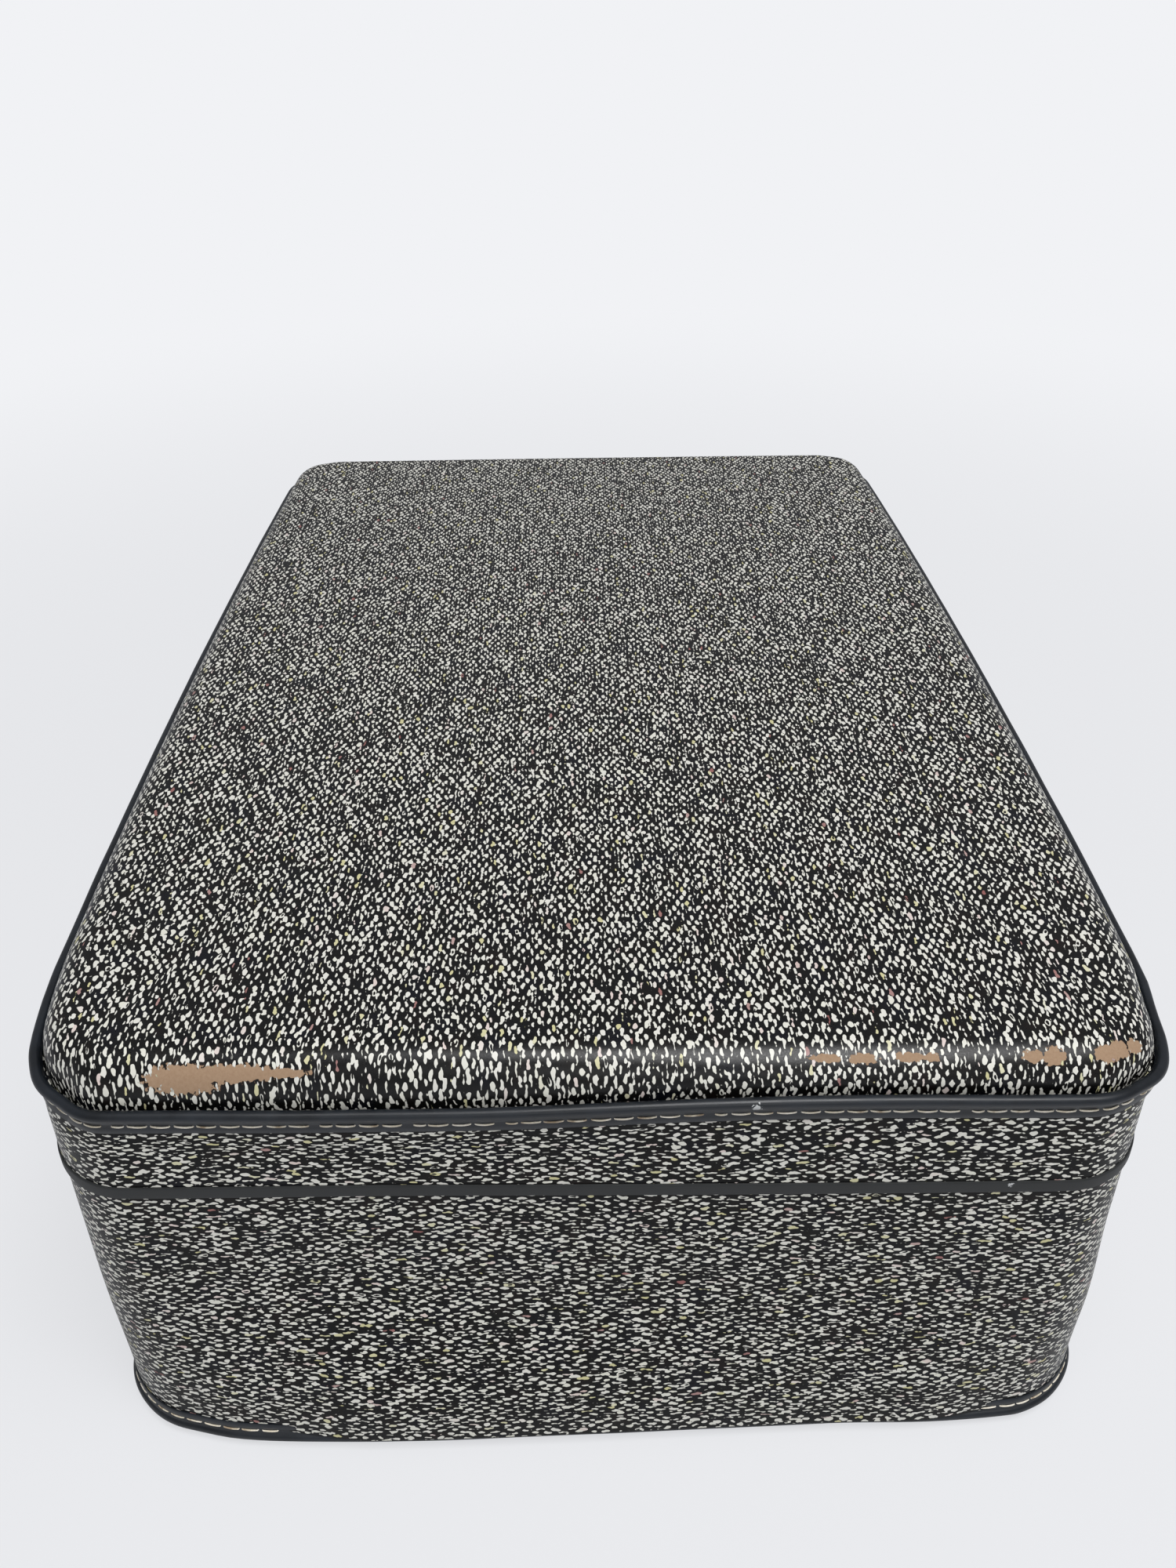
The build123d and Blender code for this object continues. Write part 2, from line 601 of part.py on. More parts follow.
def handle_path():
    """U-shaped centre line of the grip, hanging from the pivots."""
    low = HANDLE_Z - SEAM_Z - HANDLE_DROP
    top = HANDLE_Z - SEAM_Z - EYE_R - 6.0
    x = HANDLE_HALF
    left = [(-x, -HANDLE_OUT, top), (-x, -HANDLE_OUT, low)]
    right = [(x, -HANDLE_OUT, low), (x, -HANDLE_OUT, top)]
    return FilletPolyline(*left, *right, radius=HANDLE_BEND)


def handle():
    """Moulded grip on a steel core, with an eye at each end between the ears of its bracket."""
    out = -HANDLE_OUT
    z = HANDLE_Z - SEAM_Z
    path = handle_path()
    section = chamfer(Rectangle(GRIP_DEEP, GRIP_THICK).vertices(), GRIP_EDGE)
    grip = sweep((path ^ 0) * section, path=path)
    core = sweep((path ^ 0) * Rectangle(CORE_T, CORE_W), path=path)
    loops, brackets, pins, ferrules = [], [], [], []
    end_z = z - EYE_R - 6.0
    for side in (-1, 1):
        x = side * HANDLE_HALF
        half = EYE_W / 2
        eye = rod_x(EYE_R, x - half, x + half, out, z)
        eye += box(x - half, x + half, out - LOOP_T / 2, out + LOOP_T / 2, end_z + 3, z)
        ring = chamfer(Rectangle(GRIP_DEEP + 1.2, GRIP_THICK + 1.2).vertices(), GRIP_EDGE)
        collar = Pos(x, out, end_z) * extrude(ring, amount=3)
        eye -= rod_x(HANDLE_PIN_R + RUNNING, x - half, x + half, out, z, bore=True)
        loops.append(eye)
        ferrules.append(collar)
        bracket = Pos(x, 0, 0) * plate_xz(BRACKET_W, BRACKET_H, 4.0, 0, -BRACKET_T, z)
        for turn in (-1, 1):
            x0 = x + turn * (half + EYE_PLAY)
            sides = Polyline((out, z - EYE_R), (0, z - EAR_ROOT), (0, z + EAR_ROOT), (out, z + EYE_R))
            nose = ThreePointArc((out, z - EYE_R), (out - EYE_R, z), (out, z + EYE_R))
            ear = make_face(Plane.YZ * Curve([sides, nose]))
            start = min(x0, x0 + turn * EAR_T)
            bracket += Pos(start, 0, 0) * extrude(ear, amount=EAR_T, dir=(1, 0, 0))
        reach = half + EYE_PLAY + EAR_T
        bracket -= rod_x(HANDLE_PIN_R, x - reach, x + reach, out, z)
        brackets.append(bracket)
        pins.append(rod_x(HANDLE_PIN_R, x - reach, x + reach, out, z))
    rivets = [Pos(x, -BRACKET_T, zz) * rivet() for x, zz in BRACKET_RIVETS]
    frame = front_frame(0)
    return {
        "handle_grip": frame * (grip - core),
        "handle_core": frame * core,
        "handle_eyes": Compound([frame * s for s in loops]),
        "handle_ferrules": Compound([frame * s for s in ferrules]),
        "handle_brackets": Compound([frame * b for b in brackets]),
        "handle_pins": Compound([frame * p for p in pins]),
        "handle_rivets": Compound([frame * r for r in rivets]),
    }


def feet():
    """Turned studs that the case stands on when it is carried upright and set down."""
    round_face = RegularPolygon(FOOT_R, FOOT_SIDES)
    stud = extrude(round_face, amount=FOOT_RIM)
    stud += Pos(0, 0, FOOT_RIM) * extrude(round_face, amount=FOOT_H - FOOT_RIM, taper=FOOT_TAPER)
    stud = Rot(-90, 0, 0) * stud
    places = [rear_frame(sx * FOOT_X, z, BODY_FACE) for sx in (-1, 1) for z in FOOT_Z]
    return Compound([place * stud for place in places])


def straps():
    """Webbing straps across the floor of the case, their buckles and their anchor plates."""
    floor = BASE_T + PANEL_T
    tray_y = rear_face(STRAP_X + STRAP_W / 2, BODY_IN + SKIRT_T) - STRAP_CLEAR
    top = floor + STRAP_RISE
    outer = [(-tray_y, top), (-tray_y, floor), (tray_y, floor), (tray_y, top)]
    strip = FilletPolyline(*outer, radius=STRAP_BEND)
    inner = [(-tray_y + STRAP_T, top), (-tray_y + STRAP_T, floor + STRAP_T),
             (tray_y - STRAP_T, floor + STRAP_T), (tray_y - STRAP_T, top)]
    lining = FilletPolyline(*inner, radius=STRAP_BEND - STRAP_T)
    ends = [Line(outer[0], inner[0]), Line(outer[3], inner[3])]
    face = make_face(Plane.YZ * Curve([strip, lining, *ends]))
    webbing = Pos(-STRAP_W / 2, 0, 0) * extrude(face, amount=STRAP_W, dir=(1, 0, 0))
    on_top = floor + STRAP_T
    frame = box(-STRAP_W / 2 - BUCKLE_BAR, STRAP_W / 2 + BUCKLE_BAR, -BUCKLE_L / 2, BUCKLE_L / 2,
                on_top, on_top + BUCKLE_T)
    frame = chamfer(frame.edges().filter_by(Axis.Z), 2.0)
    slot = BUCKLE_L / 2 - BUCKLE_BAR
    for sy in (-1, 1):
        frame -= box(-STRAP_W / 2, STRAP_W / 2, sy * BUCKLE_BAR / 2, sy * slot, on_top, on_top + BUCKLE_T)
    anchors = []
    for sx in (-1, 1):
        for sy in (-1, 1):
            y = sy * (tray_y - STRAP_T)
            plate = box(-STRAP_W / 2 - 2, STRAP_W / 2 + 2, y, y - sy * ANCHOR_T, top - ANCHOR_H, top)
            anchors.append(Pos(sx * STRAP_X, 0, 0) * plate)
    return {
        "packing_strap_left": Pos(-STRAP_X, 0, 0) * webbing,
        "packing_strap_right": Pos(STRAP_X, 0, 0) * webbing,
        "strap_buckles": Compound([Pos(sx * STRAP_X, 0, 0) * frame for sx in (-1, 1)]),
        "strap_anchors": Compound(anchors),
    }


def pocket():
    """Empty cloth pocket lying under the top of the lid, and its elastic hem."""
    ceiling = HEIGHT - LID_TOP_T - PANEL_T
    panel = box(-POCKET_L / 2, POCKET_L / 2, -POCKET_D / 2, POCKET_D / 2, ceiling - POCKET_T, ceiling)
    hem = box(-POCKET_L / 2, POCKET_L / 2, -POCKET_D / 2 - HEM_D, -POCKET_D / 2, ceiling - HEM_T, ceiling)
    hem = chamfer(hem.edges().filter_by(Axis.X).group_by(Axis.Z)[0], HEM_T / 3)
    return {"lid_pocket": chamfer(panel.edges().filter_by(Axis.Z), 8.0), "pocket_elastic": hem}


def suitcase():
    """Every piece of the case by name."""
    parts = case_shells() | lid_shells()
    parts["base_piping"] = piping(BASE_BEAD_IN, BASE_BEAD_Z, BODY_FACE, BASE_FLANGE_Z)
    parts["lid_piping"] = piping(0.0, LID_BEAD_Z, LID_FACE, LID_FLANGE_Z)
    parts["lid_edge_strip"] = edge_strip()
    parts |= hinges() | locks() | handle() | straps() | pocket()
    parts["case_feet"] = feet()
    return parts


def show_places():
    """Prints the joint axes and the mount points, in metres."""
    print("lid axis", HINGE_AXIS_Y / 1000, HINGE_AXIS_Z / 1000)
    for side, frame in lock_frames():
        spot = (frame * Pos(0, HASP_AXIS_Y, HASP_AXIS_Z)).position / 1000
        print(side, "hasp axis", spot, "turned by", frame.orientation.Z)
    spot = (front_frame(0) * Pos(0, -HANDLE_OUT, HANDLE_Z - SEAM_Z)).position / 1000
    print("handle axis", spot)
    tip = (rear_frame(FOOT_X, FOOT_Z[0], BODY_FACE) * Pos(0, FOOT_H, 0)).position / 1000
    print("foot tip", tip, "turned by", -degrees(wall_angle(FOOT_X)))


os.makedirs("parts", exist_ok=True)
for name, shape in suitcase().items():
    export_step(shape, f"parts/{name}.step")
show_places()
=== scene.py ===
import math
import random
from bisect import bisect_right

import bpy
from mathutils import Matrix, Vector, noise


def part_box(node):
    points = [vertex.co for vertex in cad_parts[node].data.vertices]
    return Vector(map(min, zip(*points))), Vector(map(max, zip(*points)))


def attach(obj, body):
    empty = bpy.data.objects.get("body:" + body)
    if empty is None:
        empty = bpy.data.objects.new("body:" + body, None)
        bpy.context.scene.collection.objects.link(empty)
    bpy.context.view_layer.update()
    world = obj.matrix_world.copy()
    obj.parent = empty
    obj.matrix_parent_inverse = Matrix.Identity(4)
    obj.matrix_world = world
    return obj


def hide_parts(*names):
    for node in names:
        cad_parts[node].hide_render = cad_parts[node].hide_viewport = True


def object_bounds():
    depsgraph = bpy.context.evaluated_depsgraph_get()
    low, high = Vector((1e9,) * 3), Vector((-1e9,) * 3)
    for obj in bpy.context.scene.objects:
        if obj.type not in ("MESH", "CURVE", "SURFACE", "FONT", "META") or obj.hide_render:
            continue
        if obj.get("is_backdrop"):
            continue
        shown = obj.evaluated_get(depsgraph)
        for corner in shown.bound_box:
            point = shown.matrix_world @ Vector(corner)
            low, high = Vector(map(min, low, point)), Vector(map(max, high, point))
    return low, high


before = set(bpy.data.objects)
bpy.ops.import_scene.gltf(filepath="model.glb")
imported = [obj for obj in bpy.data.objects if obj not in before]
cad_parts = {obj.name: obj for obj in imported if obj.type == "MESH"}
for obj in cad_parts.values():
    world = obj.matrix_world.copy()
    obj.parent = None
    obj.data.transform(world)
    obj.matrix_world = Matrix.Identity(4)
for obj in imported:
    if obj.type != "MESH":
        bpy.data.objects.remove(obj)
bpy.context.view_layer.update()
random.seed(7)


# Camera: it stands above and beyond the near end of the case and looks down along it. Its place,
# its tilt and its lens were fitted to edges of the case in the photograph.
camera_place = Vector((0.632, -0.0066, 0.518))
camera_yaw = math.radians(0.67)
camera_pitch = math.radians(32.64)
camera_roll = math.radians(-0.573)
lens_mm = 30.58
sensor_mm = 36.0
level = math.cos(camera_pitch)
ahead = Vector((-math.cos(camera_yaw) * level, math.sin(camera_yaw) * level, -math.sin(camera_pitch)))
right = ahead.cross(Vector((0, 0, 1))).normalized()
up = right.cross(ahead)
rolled_right = right * math.cos(camera_roll) + up * math.sin(camera_roll)
rolled_up = up * math.cos(camera_roll) - right * math.sin(camera_roll)
camera_turn = Matrix((rolled_right, rolled_up, -ahead)).transposed().to_4x4()
camera = bpy.data.objects.new("camera", bpy.data.cameras.new("camera"))
camera.data.lens = lens_mm
camera.data.sensor_width = sensor_mm
camera.matrix_world = Matrix.Translation(camera_place) @ camera_turn
bpy.context.scene.collection.objects.link(camera)
bpy.context.scene.camera = camera


# Lower wall: one strip of fibreboard, bent round and joined behind, with vinyl film printed as a
# black and white tweed outside and lining paper inside. At the near end its lower edge has
# bellied out over the base piping.
MM = 0.001


def smooth(t):
    """Eases from 0 to 1."""
    t = min(1.0, max(0.0, t))
    return t * t * (3 - 2 * t)


half_x, half_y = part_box("lid_piping")[1].x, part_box("lid_piping")[1].y
long_bow = 5.5 * MM
end_bow = 1.2 * MM
corner_r = 36.0 * MM
long_r = (half_x**2 + long_bow**2) / (2 * long_bow)
end_r = ((half_y - long_bow) ** 2 + end_bow**2) / (2 * end_bow)
hinge_low, hinge_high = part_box("hinge_lid_leaf_right")
notch_play = 0.2 * MM
notch = (hinge_low.x - notch_play, hinge_high.x + notch_play)
seam_lap = 6.0 * MM


def corner_centre():
    """Centre of the arc that joins a long side to an end, in the +X, +Y quarter."""
    a, b = Vector((0, half_y - long_r)), Vector((half_x - end_r, 0))
    ra, rb = long_r - corner_r, end_r - corner_r
    d = (b - a).length
    reach = (d * d + ra * ra - rb * rb) / (2 * d)
    off = math.sqrt(ra * ra - reach * reach)
    way = (b - a) / d
    both = [a + way * reach + Vector((-way.y, way.x)) * off * s for s in (1, -1)]
    return max(both, key=lambda p: p.x + p.y)


def plan_line(step=6.0 * MM, corner_step=1.6 * MM, hair=0.02 * MM, same=0.0001 * MM):
    """Points round the outermost plan line from the middle of the back, each with its way out and its
    distance along the line, and the distance all the way round."""
    corner = corner_centre()
    first = math.atan2(corner.y - (half_y - long_r), corner.x)
    second = math.atan2(corner.y, corner.x - (half_x - end_r))
    quarter = []
    for centre, radius, a0, a1, gap in (
        (Vector((0, half_y - long_r)), long_r, math.pi / 2, first, step),
        (corner, corner_r, first, second, corner_step),
        (Vector((half_x - end_r, 0)), end_r, second, 0.0, step),
    ):
        count = math.ceil(radius * (a0 - a1) / gap)
        angles = [a0 + (a1 - a0) * i / count for i in range(count + 1)]
        if radius == long_r:
            angles += [math.acos((x + d) / long_r) for x in notch for d in (-hair, hair)]
        quarter += [(centre, radius, a) for a in sorted(angles, reverse=True)]
    loop = []
    for sx, sy, forward in ((1, 1, True), (1, -1, False), (-1, -1, True), (-1, 1, False)):
        for centre, radius, a in quarter if forward else quarter[::-1]:
            way = Vector((sx * math.cos(a), sy * math.sin(a)))
            loop.append((Vector((sx * centre.x, sy * centre.y)) + way * radius, way))
    samples, distance = [], 0.0
    for point, way in loop:
        if samples and (point - samples[-1][0]).length < same:
            continue
        distance += (point - samples[-1][0]).length if samples else 0.0
        samples.append((point, way, distance))
    if (samples[-1][0] - samples[0][0]).length < same:
        samples.pop()
    return samples, distance


line, girth = plan_line()
slant_from, slant_over, slant_power = -80 * MM, 230 * MM, 1.15
slant_x, slant_fade = 212 * MM, 100 * MM
near_slant = 4.3 * MM
foot_bow = (
    (-262, 0), (-240, -1.5), (-225, -3), (-205, -3), (-190, -2), (-173, 0.8), (-147, 6.4), (-110, 8.2),
    (-76, 8.4), (0, 5.6), (91, 1.6), (130, 1.2), (150, 0.2), (166, -1.3), (181, -3.2), (200, -3.4),
    (226, -1), (246, 0),
)
foot_z, foot_fade, foot_power = 8 * MM, 125 * MM, 1.8
corner_pull = (
    (-246, 0), (-215, -0.8), (-190, -0.6), (-172, 0), (160, 0), (190, -2), (212, -2.8), (230, -2), (246, 0)
)
pull_z, pull_fade = 50 * MM, 60 * MM
piping_dip = (
    (-330, 0), (-260, 0.8), (-195, 2.6), (-151, 3.0), (-123, 3.1), (-83, 3.4), (-44, 2.9), (-4, 1.1),
    (36, -1.1), (89, -2.1), (144, -1.2), (195, -0.6), (246, 0),
)
dip_z, dip_fade = 160 * MM, 14 * MM
crown_z, crown_fade = 199 * MM, 12 * MM
lid_pull = (
    (-262, 0), (-230, -1.5), (-212, -3.4), (-195, -3.0), (-172, 0),
    (172, 0), (195, -0.6), (215, -1.4), (235, -0.8), (262, 0),
)
lid_flare = 2.6 * MM
flare_z, flare_fade = 169 * MM, 12 * MM
long_side = 0.45


def follow(table, t):
    """Smooth curve through a table of millimetres along the near end and millimetres of movement."""
    t /= MM
    if not table[0][0] < t < table[-1][0]:
        return 0.0
    k = bisect_right([row[0] for row in table], t) - 1
    slopes = []
    for i in (k, k + 1):
        (a, u), (b, v) = table[max(i - 1, 0)], table[min(i + 1, len(table) - 1)]
        slopes.append((v - u) / (b - a))
    (a, u), (b, v) = table[k], table[k + 1]
    s = (t - a) / (b - a)
    through = u * (1 + 2 * s) * (1 - s) ** 2 + v * s * s * (3 - 2 * s)
    return MM * (through + (b - a) * (slopes[0] * s * (1 - s) ** 2 - slopes[1] * s * s * (1 - s)))


def settled(spot, way, distance, z, bows=1.0):
    """Where a point stands now: the near end is askew and bowed out at its foot, the piping there has
    sunk, and the lid flares along its long sides."""
    t = girth / 4 - distance
    askew = near_slant * max(0.0, (spot.y - slant_from) / slant_over) ** slant_power
    askew *= smooth((spot.x - slant_x) / slant_fade)
    out = follow(foot_bow, t) * smooth(1 - (z - foot_z) / foot_fade) ** foot_power
    out += follow(corner_pull, t) * smooth((z - pull_z) / pull_fade)
    lid = lid_flare * smooth((abs(way.y) - long_side) / long_side) + follow(lid_pull, t)
    out = (out + lid * smooth((z - flare_z) / flare_fade)) * bows
    dip = follow(piping_dip, t) * smooth((z - dip_z) / dip_fade) * smooth((crown_z - z) / crown_fade)
    return Vector((spot.x + askew + way.x * out, spot.y + way.y * out, z - dip))


def make_piece(name, points, faces, finishes, which=None, uvs=None, angle=38):
    """Mesh object from points in metres, with its finishes and, where it has them, UVs in millimetres.
    It is shaded smooth, and edges sharper than angle degrees stay sharp."""
    mesh = bpy.data.meshes.new(name)
    mesh.from_pydata(points, [], faces)
    for finish in finishes:
        mesh.materials.append(finish)
    if which:
        mesh.polygons.foreach_set("material_index", which)
    if uvs:
        layer = mesh.uv_layers.new(name="laid_flat")
        layer.data.foreach_set("uv", [c for uv in uvs for c in uv])
    mesh.validate()
    mesh.shade_smooth()
    mesh.set_sharp_from_angle(angle=math.radians(angle))
    piece = bpy.data.objects.new(name, mesh)
    bpy.context.scene.collection.objects.link(piece)
    return piece


def carried_round(name, profile, finishes, which=None, bend=None):
    """Closed profile of (inset, height) points carried round the plan line; bend moves a point out.
    The print is drawn out by seam_lap where the strip is joined behind."""
    points, faces, uvs, marks = [], [], [], []
    rows = len(profile)
    lengths = [0.0]
    for a, b in zip(profile, profile[1:] + profile[:1]):
        lengths.append(lengths[-1] + math.dist(a, b))
    for point, way, distance in line:
        for inset, z in profile:
            spot = point - way * inset
            out, lift = bend(spot.x, spot.y, z, inset) if bend else (0.0, 0.0)
            points.append(settled(spot + way * out, way, distance, z + lift))
    n = len(line)
    distances = [s for _, _, s in line] + [girth + seam_lap]
    for i in range(n):
        for j in range(rows):
            k, m = (i + 1) % n, (j + 1) % rows
            faces.append((i * rows + j, i * rows + m, k * rows + m, k * rows + j))
            marks.append(which[j] if which else 0)
            for s, v in ((i, j), (i, j + 1), (i + 1, j + 1), (i + 1, j)):
                uvs.append((distances[s] / MM, (profile[0][1] + lengths[v]) / MM))
    return make_piece(name, points, faces, finishes, marks, uvs)


def linear(code):
    """Linear RGBA of an sRGB hex colour."""
    parts = [int(code[i:i + 2], 16) / 255 for i in (1, 3, 5)]
    return [c / 12.92 if c <= 0.04045 else ((c + 0.055) / 1.055) ** 2.4 for c in parts] + [1.0]


def socket(what):
    """A node's first output, and anything else as it is."""
    return what.outputs[0] if isinstance(what, bpy.types.Node) else what


def add(tree, kind, links=None, stops=(), **settings):
    """Adds a node. Links go by input name or number, to a value, a node's first output or a socket.
    Stops are a colour ramp's places and colours, in order."""
    made = tree.nodes.new(kind)
    for key, value in settings.items():
        setattr(made, key, value)
    for where, what in (links or {}).items():
        if isinstance(socket(what), bpy.types.NodeSocket):
            tree.links.new(socket(what), made.inputs[where])
        else:
            made.inputs[where].default_value = what
    if stops:
        ramp = made.color_ramp.elements
        ramp[0].position, ramp[1].position = stops[0][0], stops[-1][0]
        for at, _ in stops[1:-1]:
            ramp.new(at)
        for stop, (_, code) in zip(ramp, stops):
            stop.color = linear(code)
    return made


def new_finish(name, roughness, inputs=None):
    """Material and its node tree, with values for inputs of its one surface shader."""
    finish = bpy.data.materials.new(name)
    finish.use_nodes = True
    shader = finish.node_tree.nodes["Principled BSDF"]
    for where, value in {"Roughness": roughness, **(inputs or {})}.items():
        shader.inputs[where].default_value = value
    return finish, finish.node_tree


def dressed(finish, height, strength, depth, colour=None, gloss=None):
    """Gives a finish its relief, whose full depth is in metres, and its patterns of colour and gloss."""
    tree = finish.node_tree
    relief = add(tree, "ShaderNodeBump", {"Height": height, "Strength": strength, "Distance": depth})
    for where, what in (("Base Color", colour), ("Roughness", gloss), ("Normal", relief)):
        if what:
            tree.links.new(socket(what), tree.nodes["Principled BSDF"].inputs[where])
    return finish


def rubbed_through(tree, flat, worn, fleck, colour, gloss, height):
    """Colour, gloss and height of a film that is rubbed through to matt brown board at worn places,
    each given by its middle and its half sizes in millimetres of the film laid flat."""
    reach = None
    for u, v, half_u, half_v in worn:
        away = add(tree, "ShaderNodeVectorMath", {0: flat, 1: (u, v, 0)}, operation="SUBTRACT")
        per_half = (1 / half_u, 1 / half_v, 0)
        away = add(tree, "ShaderNodeVectorMath", {0: away, 1: per_half}, operation="MULTIPLY")
        away = add(tree, "ShaderNodeVectorMath", {0: away}, operation="LENGTH").outputs["Value"]
        reach = add(tree, "ShaderNodeMath", {0: reach, 1: away}, operation="MINIMUM") if reach else away
    ragged = {"Vector": flat, "Scale": 0.55, "Detail": 5.0}
    tear = add(tree, "ShaderNodeTexNoise", ragged, noise_dimensions="2D")
    torn = add(tree, "ShaderNodeMath", {0: tear, 1: 1.3, 2: reach}, operation="MULTIPLY_ADD")
    torn = add(tree, "ShaderNodeMath", {0: fleck, 1: 0.12, 2: torn}, operation="MULTIPLY_ADD")
    film_ends, board_starts, soil_starts = 1.7, 1.66, 1.84
    bare = add(tree, "ShaderNodeMapRange", {0: torn, 1: film_ends, 2: board_starts})
    soiled = add(tree, "ShaderNodeMapRange", {0: torn, 1: soil_starts, 2: film_ends, 4: 0.5})
    pulp = {"Vector": flat, "Scale": 1.1, "Detail": 5.0, "Distortion": 0.6}
    fibres = add(tree, "ShaderNodeTexNoise", pulp)
    browns = {0: fibres, 6: linear("#96795f"), 7: linear("#b0967c")}
    tan = add(tree, "ShaderNodeMix", browns, data_type="RGBA").outputs[2]
    for share, over in ((soiled, linear("#3a2a22")), (bare, tan)):
        colour = add(tree, "ShaderNodeMix", {0: share, 6: colour, 7: over}, data_type="RGBA").outputs[2]
    gloss = add(tree, "ShaderNodeMix", {0: bare, 2: gloss, 3: 0.9})
    height = add(tree, "ShaderNodeMix", {0: bare, 2: height, 3: -2.0})
    return colour, gloss, height


def tweed_film(name, worn=(), shine=0.14):
    """Glossy vinyl film printed as a tweed: crisp white flecks in brick order on black, no two alike.
    Sizes are in millimetres of the film laid flat, and the scales of its noises are per millimetre."""
    pitch, row = 6.0, 3.2
    wander = ((0.035, (3.5, 2.2, 0.0)), (0.28, (1.3, 1.3, 0.0)))
    next_bricks = (31.5, 57.5, 0.0)
    jitter, ringed_from = 0.24, 0.95
    least_length, more_length = 0.27, 0.07
    slub_share, more_thick = 0.14, 0.2
    fleck_rim, fleck_core = 0.193, 0.161
    finish, tree = new_finish(name, 0.3, {"Specular IOR Level": shine})
    flat = add(tree, "ShaderNodeUVMap", uv_map="laid_flat")
    moved = flat
    for scale, amount in wander:
        waves = {"Vector": flat, "Scale": scale, "Detail": 1.0}
        stray = add(tree, "ShaderNodeTexNoise", waves, noise_dimensions="2D").outputs[1]
        stray = add(tree, "ShaderNodeVectorMath", {0: stray, 1: (0.5, 0.5, 0.5)}, operation="SUBTRACT")
        moved = add(tree, "ShaderNodeVectorMath", {0: stray, 1: amount, 2: moved}, operation="MULTIPLY_ADD")
    slub, rag, cast, grain = [
        add(tree, "ShaderNodeTexNoise", {"Vector": flat, "Scale": s, "Detail": d}, noise_dimensions="2D")
        for s, d in ((0.06, 2.0), (0.42, 1.0), (0.07, 3.0), (1.6, 3.0))
    ]
    cells = add(tree, "ShaderNodeVectorMath", {0: moved, 1: (1 / pitch, 1 / row, 0)}, operation="MULTIPLY")
    least = add(tree, "ShaderNodeMath", {0: slub, 1: slub_share}, operation="MULTIPLY")
    edges, tints = [], []
    for offset in ((0.0, 0.0, 0.0), next_bricks):
        brick = add(tree, "ShaderNodeVectorMath", {0: cells, 1: offset})
        grid = {"Vector": brick, "Scale": 1.0, "Randomness": jitter}
        spot = add(tree, "ShaderNodeTexVoronoi", grid, voronoi_dimensions="2D")
        chance = add(tree, "ShaderNodeSeparateColor", {0: spot.outputs["Color"]}).outputs
        thicker = {0: chance[0], 1: more_thick, 2: least}
        thick = add(tree, "ShaderNodeMath", thicker, operation="MULTIPLY_ADD")
        longer = {0: chance[2], 1: more_length, 2: least_length}
        length = add(tree, "ShaderNodeMath", longer, operation="MULTIPLY_ADD")
        size = add(tree, "ShaderNodeCombineXYZ", {0: length, 1: thick, 2: 1.0})
        middle = spot.outputs["Position"]
        away = add(tree, "ShaderNodeVectorMath", {0: brick, 1: middle}, operation="SUBTRACT")
        away = add(tree, "ShaderNodeVectorMath", {0: away, 1: size}, operation="DIVIDE")
        away = add(tree, "ShaderNodeVectorMath", {0: away}, operation="LENGTH").outputs["Value"]
        beyond = add(tree, "ShaderNodeMath", {0: away, 1: 1.0}, operation="SUBTRACT")
        edge = add(tree, "ShaderNodeMath", {0: beyond, 1: thick}, operation="MULTIPLY")
        ringed = add(tree, "ShaderNodeMath", {0: chance[2], 1: ringed_from}, operation="GREATER_THAN")
        within = add(tree, "ShaderNodeMath", {0: 1.5, 1: away}, operation="SUBTRACT")
        hole = add(tree, "ShaderNodeMath", {0: ringed, 1: within, 2: -1.0}, operation="MULTIPLY_ADD")
        edges.append(add(tree, "ShaderNodeMath", {0: edge, 1: hole}, operation="MAXIMUM"))
        tints.append(chance[1])
    joined = add(tree, "ShaderNodeMath", {0: edges[0], 1: edges[1], 2: 0.12}, operation="SMOOTH_MIN")
    joined = add(tree, "ShaderNodeMath", {0: rag, 1: 0.4, 2: joined}, operation="MULTIPLY_ADD")
    crisp = {0: joined, 1: fleck_rim, 2: fleck_core}
    fleck = add(tree, "ShaderNodeMapRange", crisp, interpolation_type="SMOOTHSTEP")
    second = add(tree, "ShaderNodeMath", {0: edges[1], 1: edges[0]}, operation="LESS_THAN")
    tint = add(tree, "ShaderNodeMix", {0: second, 2: tints[0], 3: tints[1]})
    white = add(tree, "ShaderNodeValToRGB", {0: tint}, (
        (0.003, "#94605c"), (0.007, "#ddcdc7"), (0.05, "#e4e2da"), (0.5, "#e2e1d8"),
        (0.95, "#e2e1d5"), (0.965, "#dbd8b8"), (0.99, "#d0cb9c"),
    ))
    dark = add(tree, "ShaderNodeValToRGB", {0: cast}, (
        (0.3, "#0a0b12"), (0.42, "#0a0a0b"), (0.6, "#0c0b09"), (0.7, "#120c0a"),
    ))
    colour = add(tree, "ShaderNodeMix", {0: fleck, 6: dark, 7: white}, data_type="RGBA").outputs[2]
    gloss = add(tree, "ShaderNodeMapRange", {0: grain, 1: 0.3, 2: 0.7, 3: 0.26, 4: 0.4})
    height = add(tree, "ShaderNodeMath", {0: fleck, 1: 0.35, 2: grain}, operation="MULTIPLY_ADD")
    if worn:
        colour, gloss, height = rubbed_through(tree, flat, worn, fleck, colour, gloss, height)
    return dressed(finish, height, 0.25, 0.06 * MM, colour, gloss)


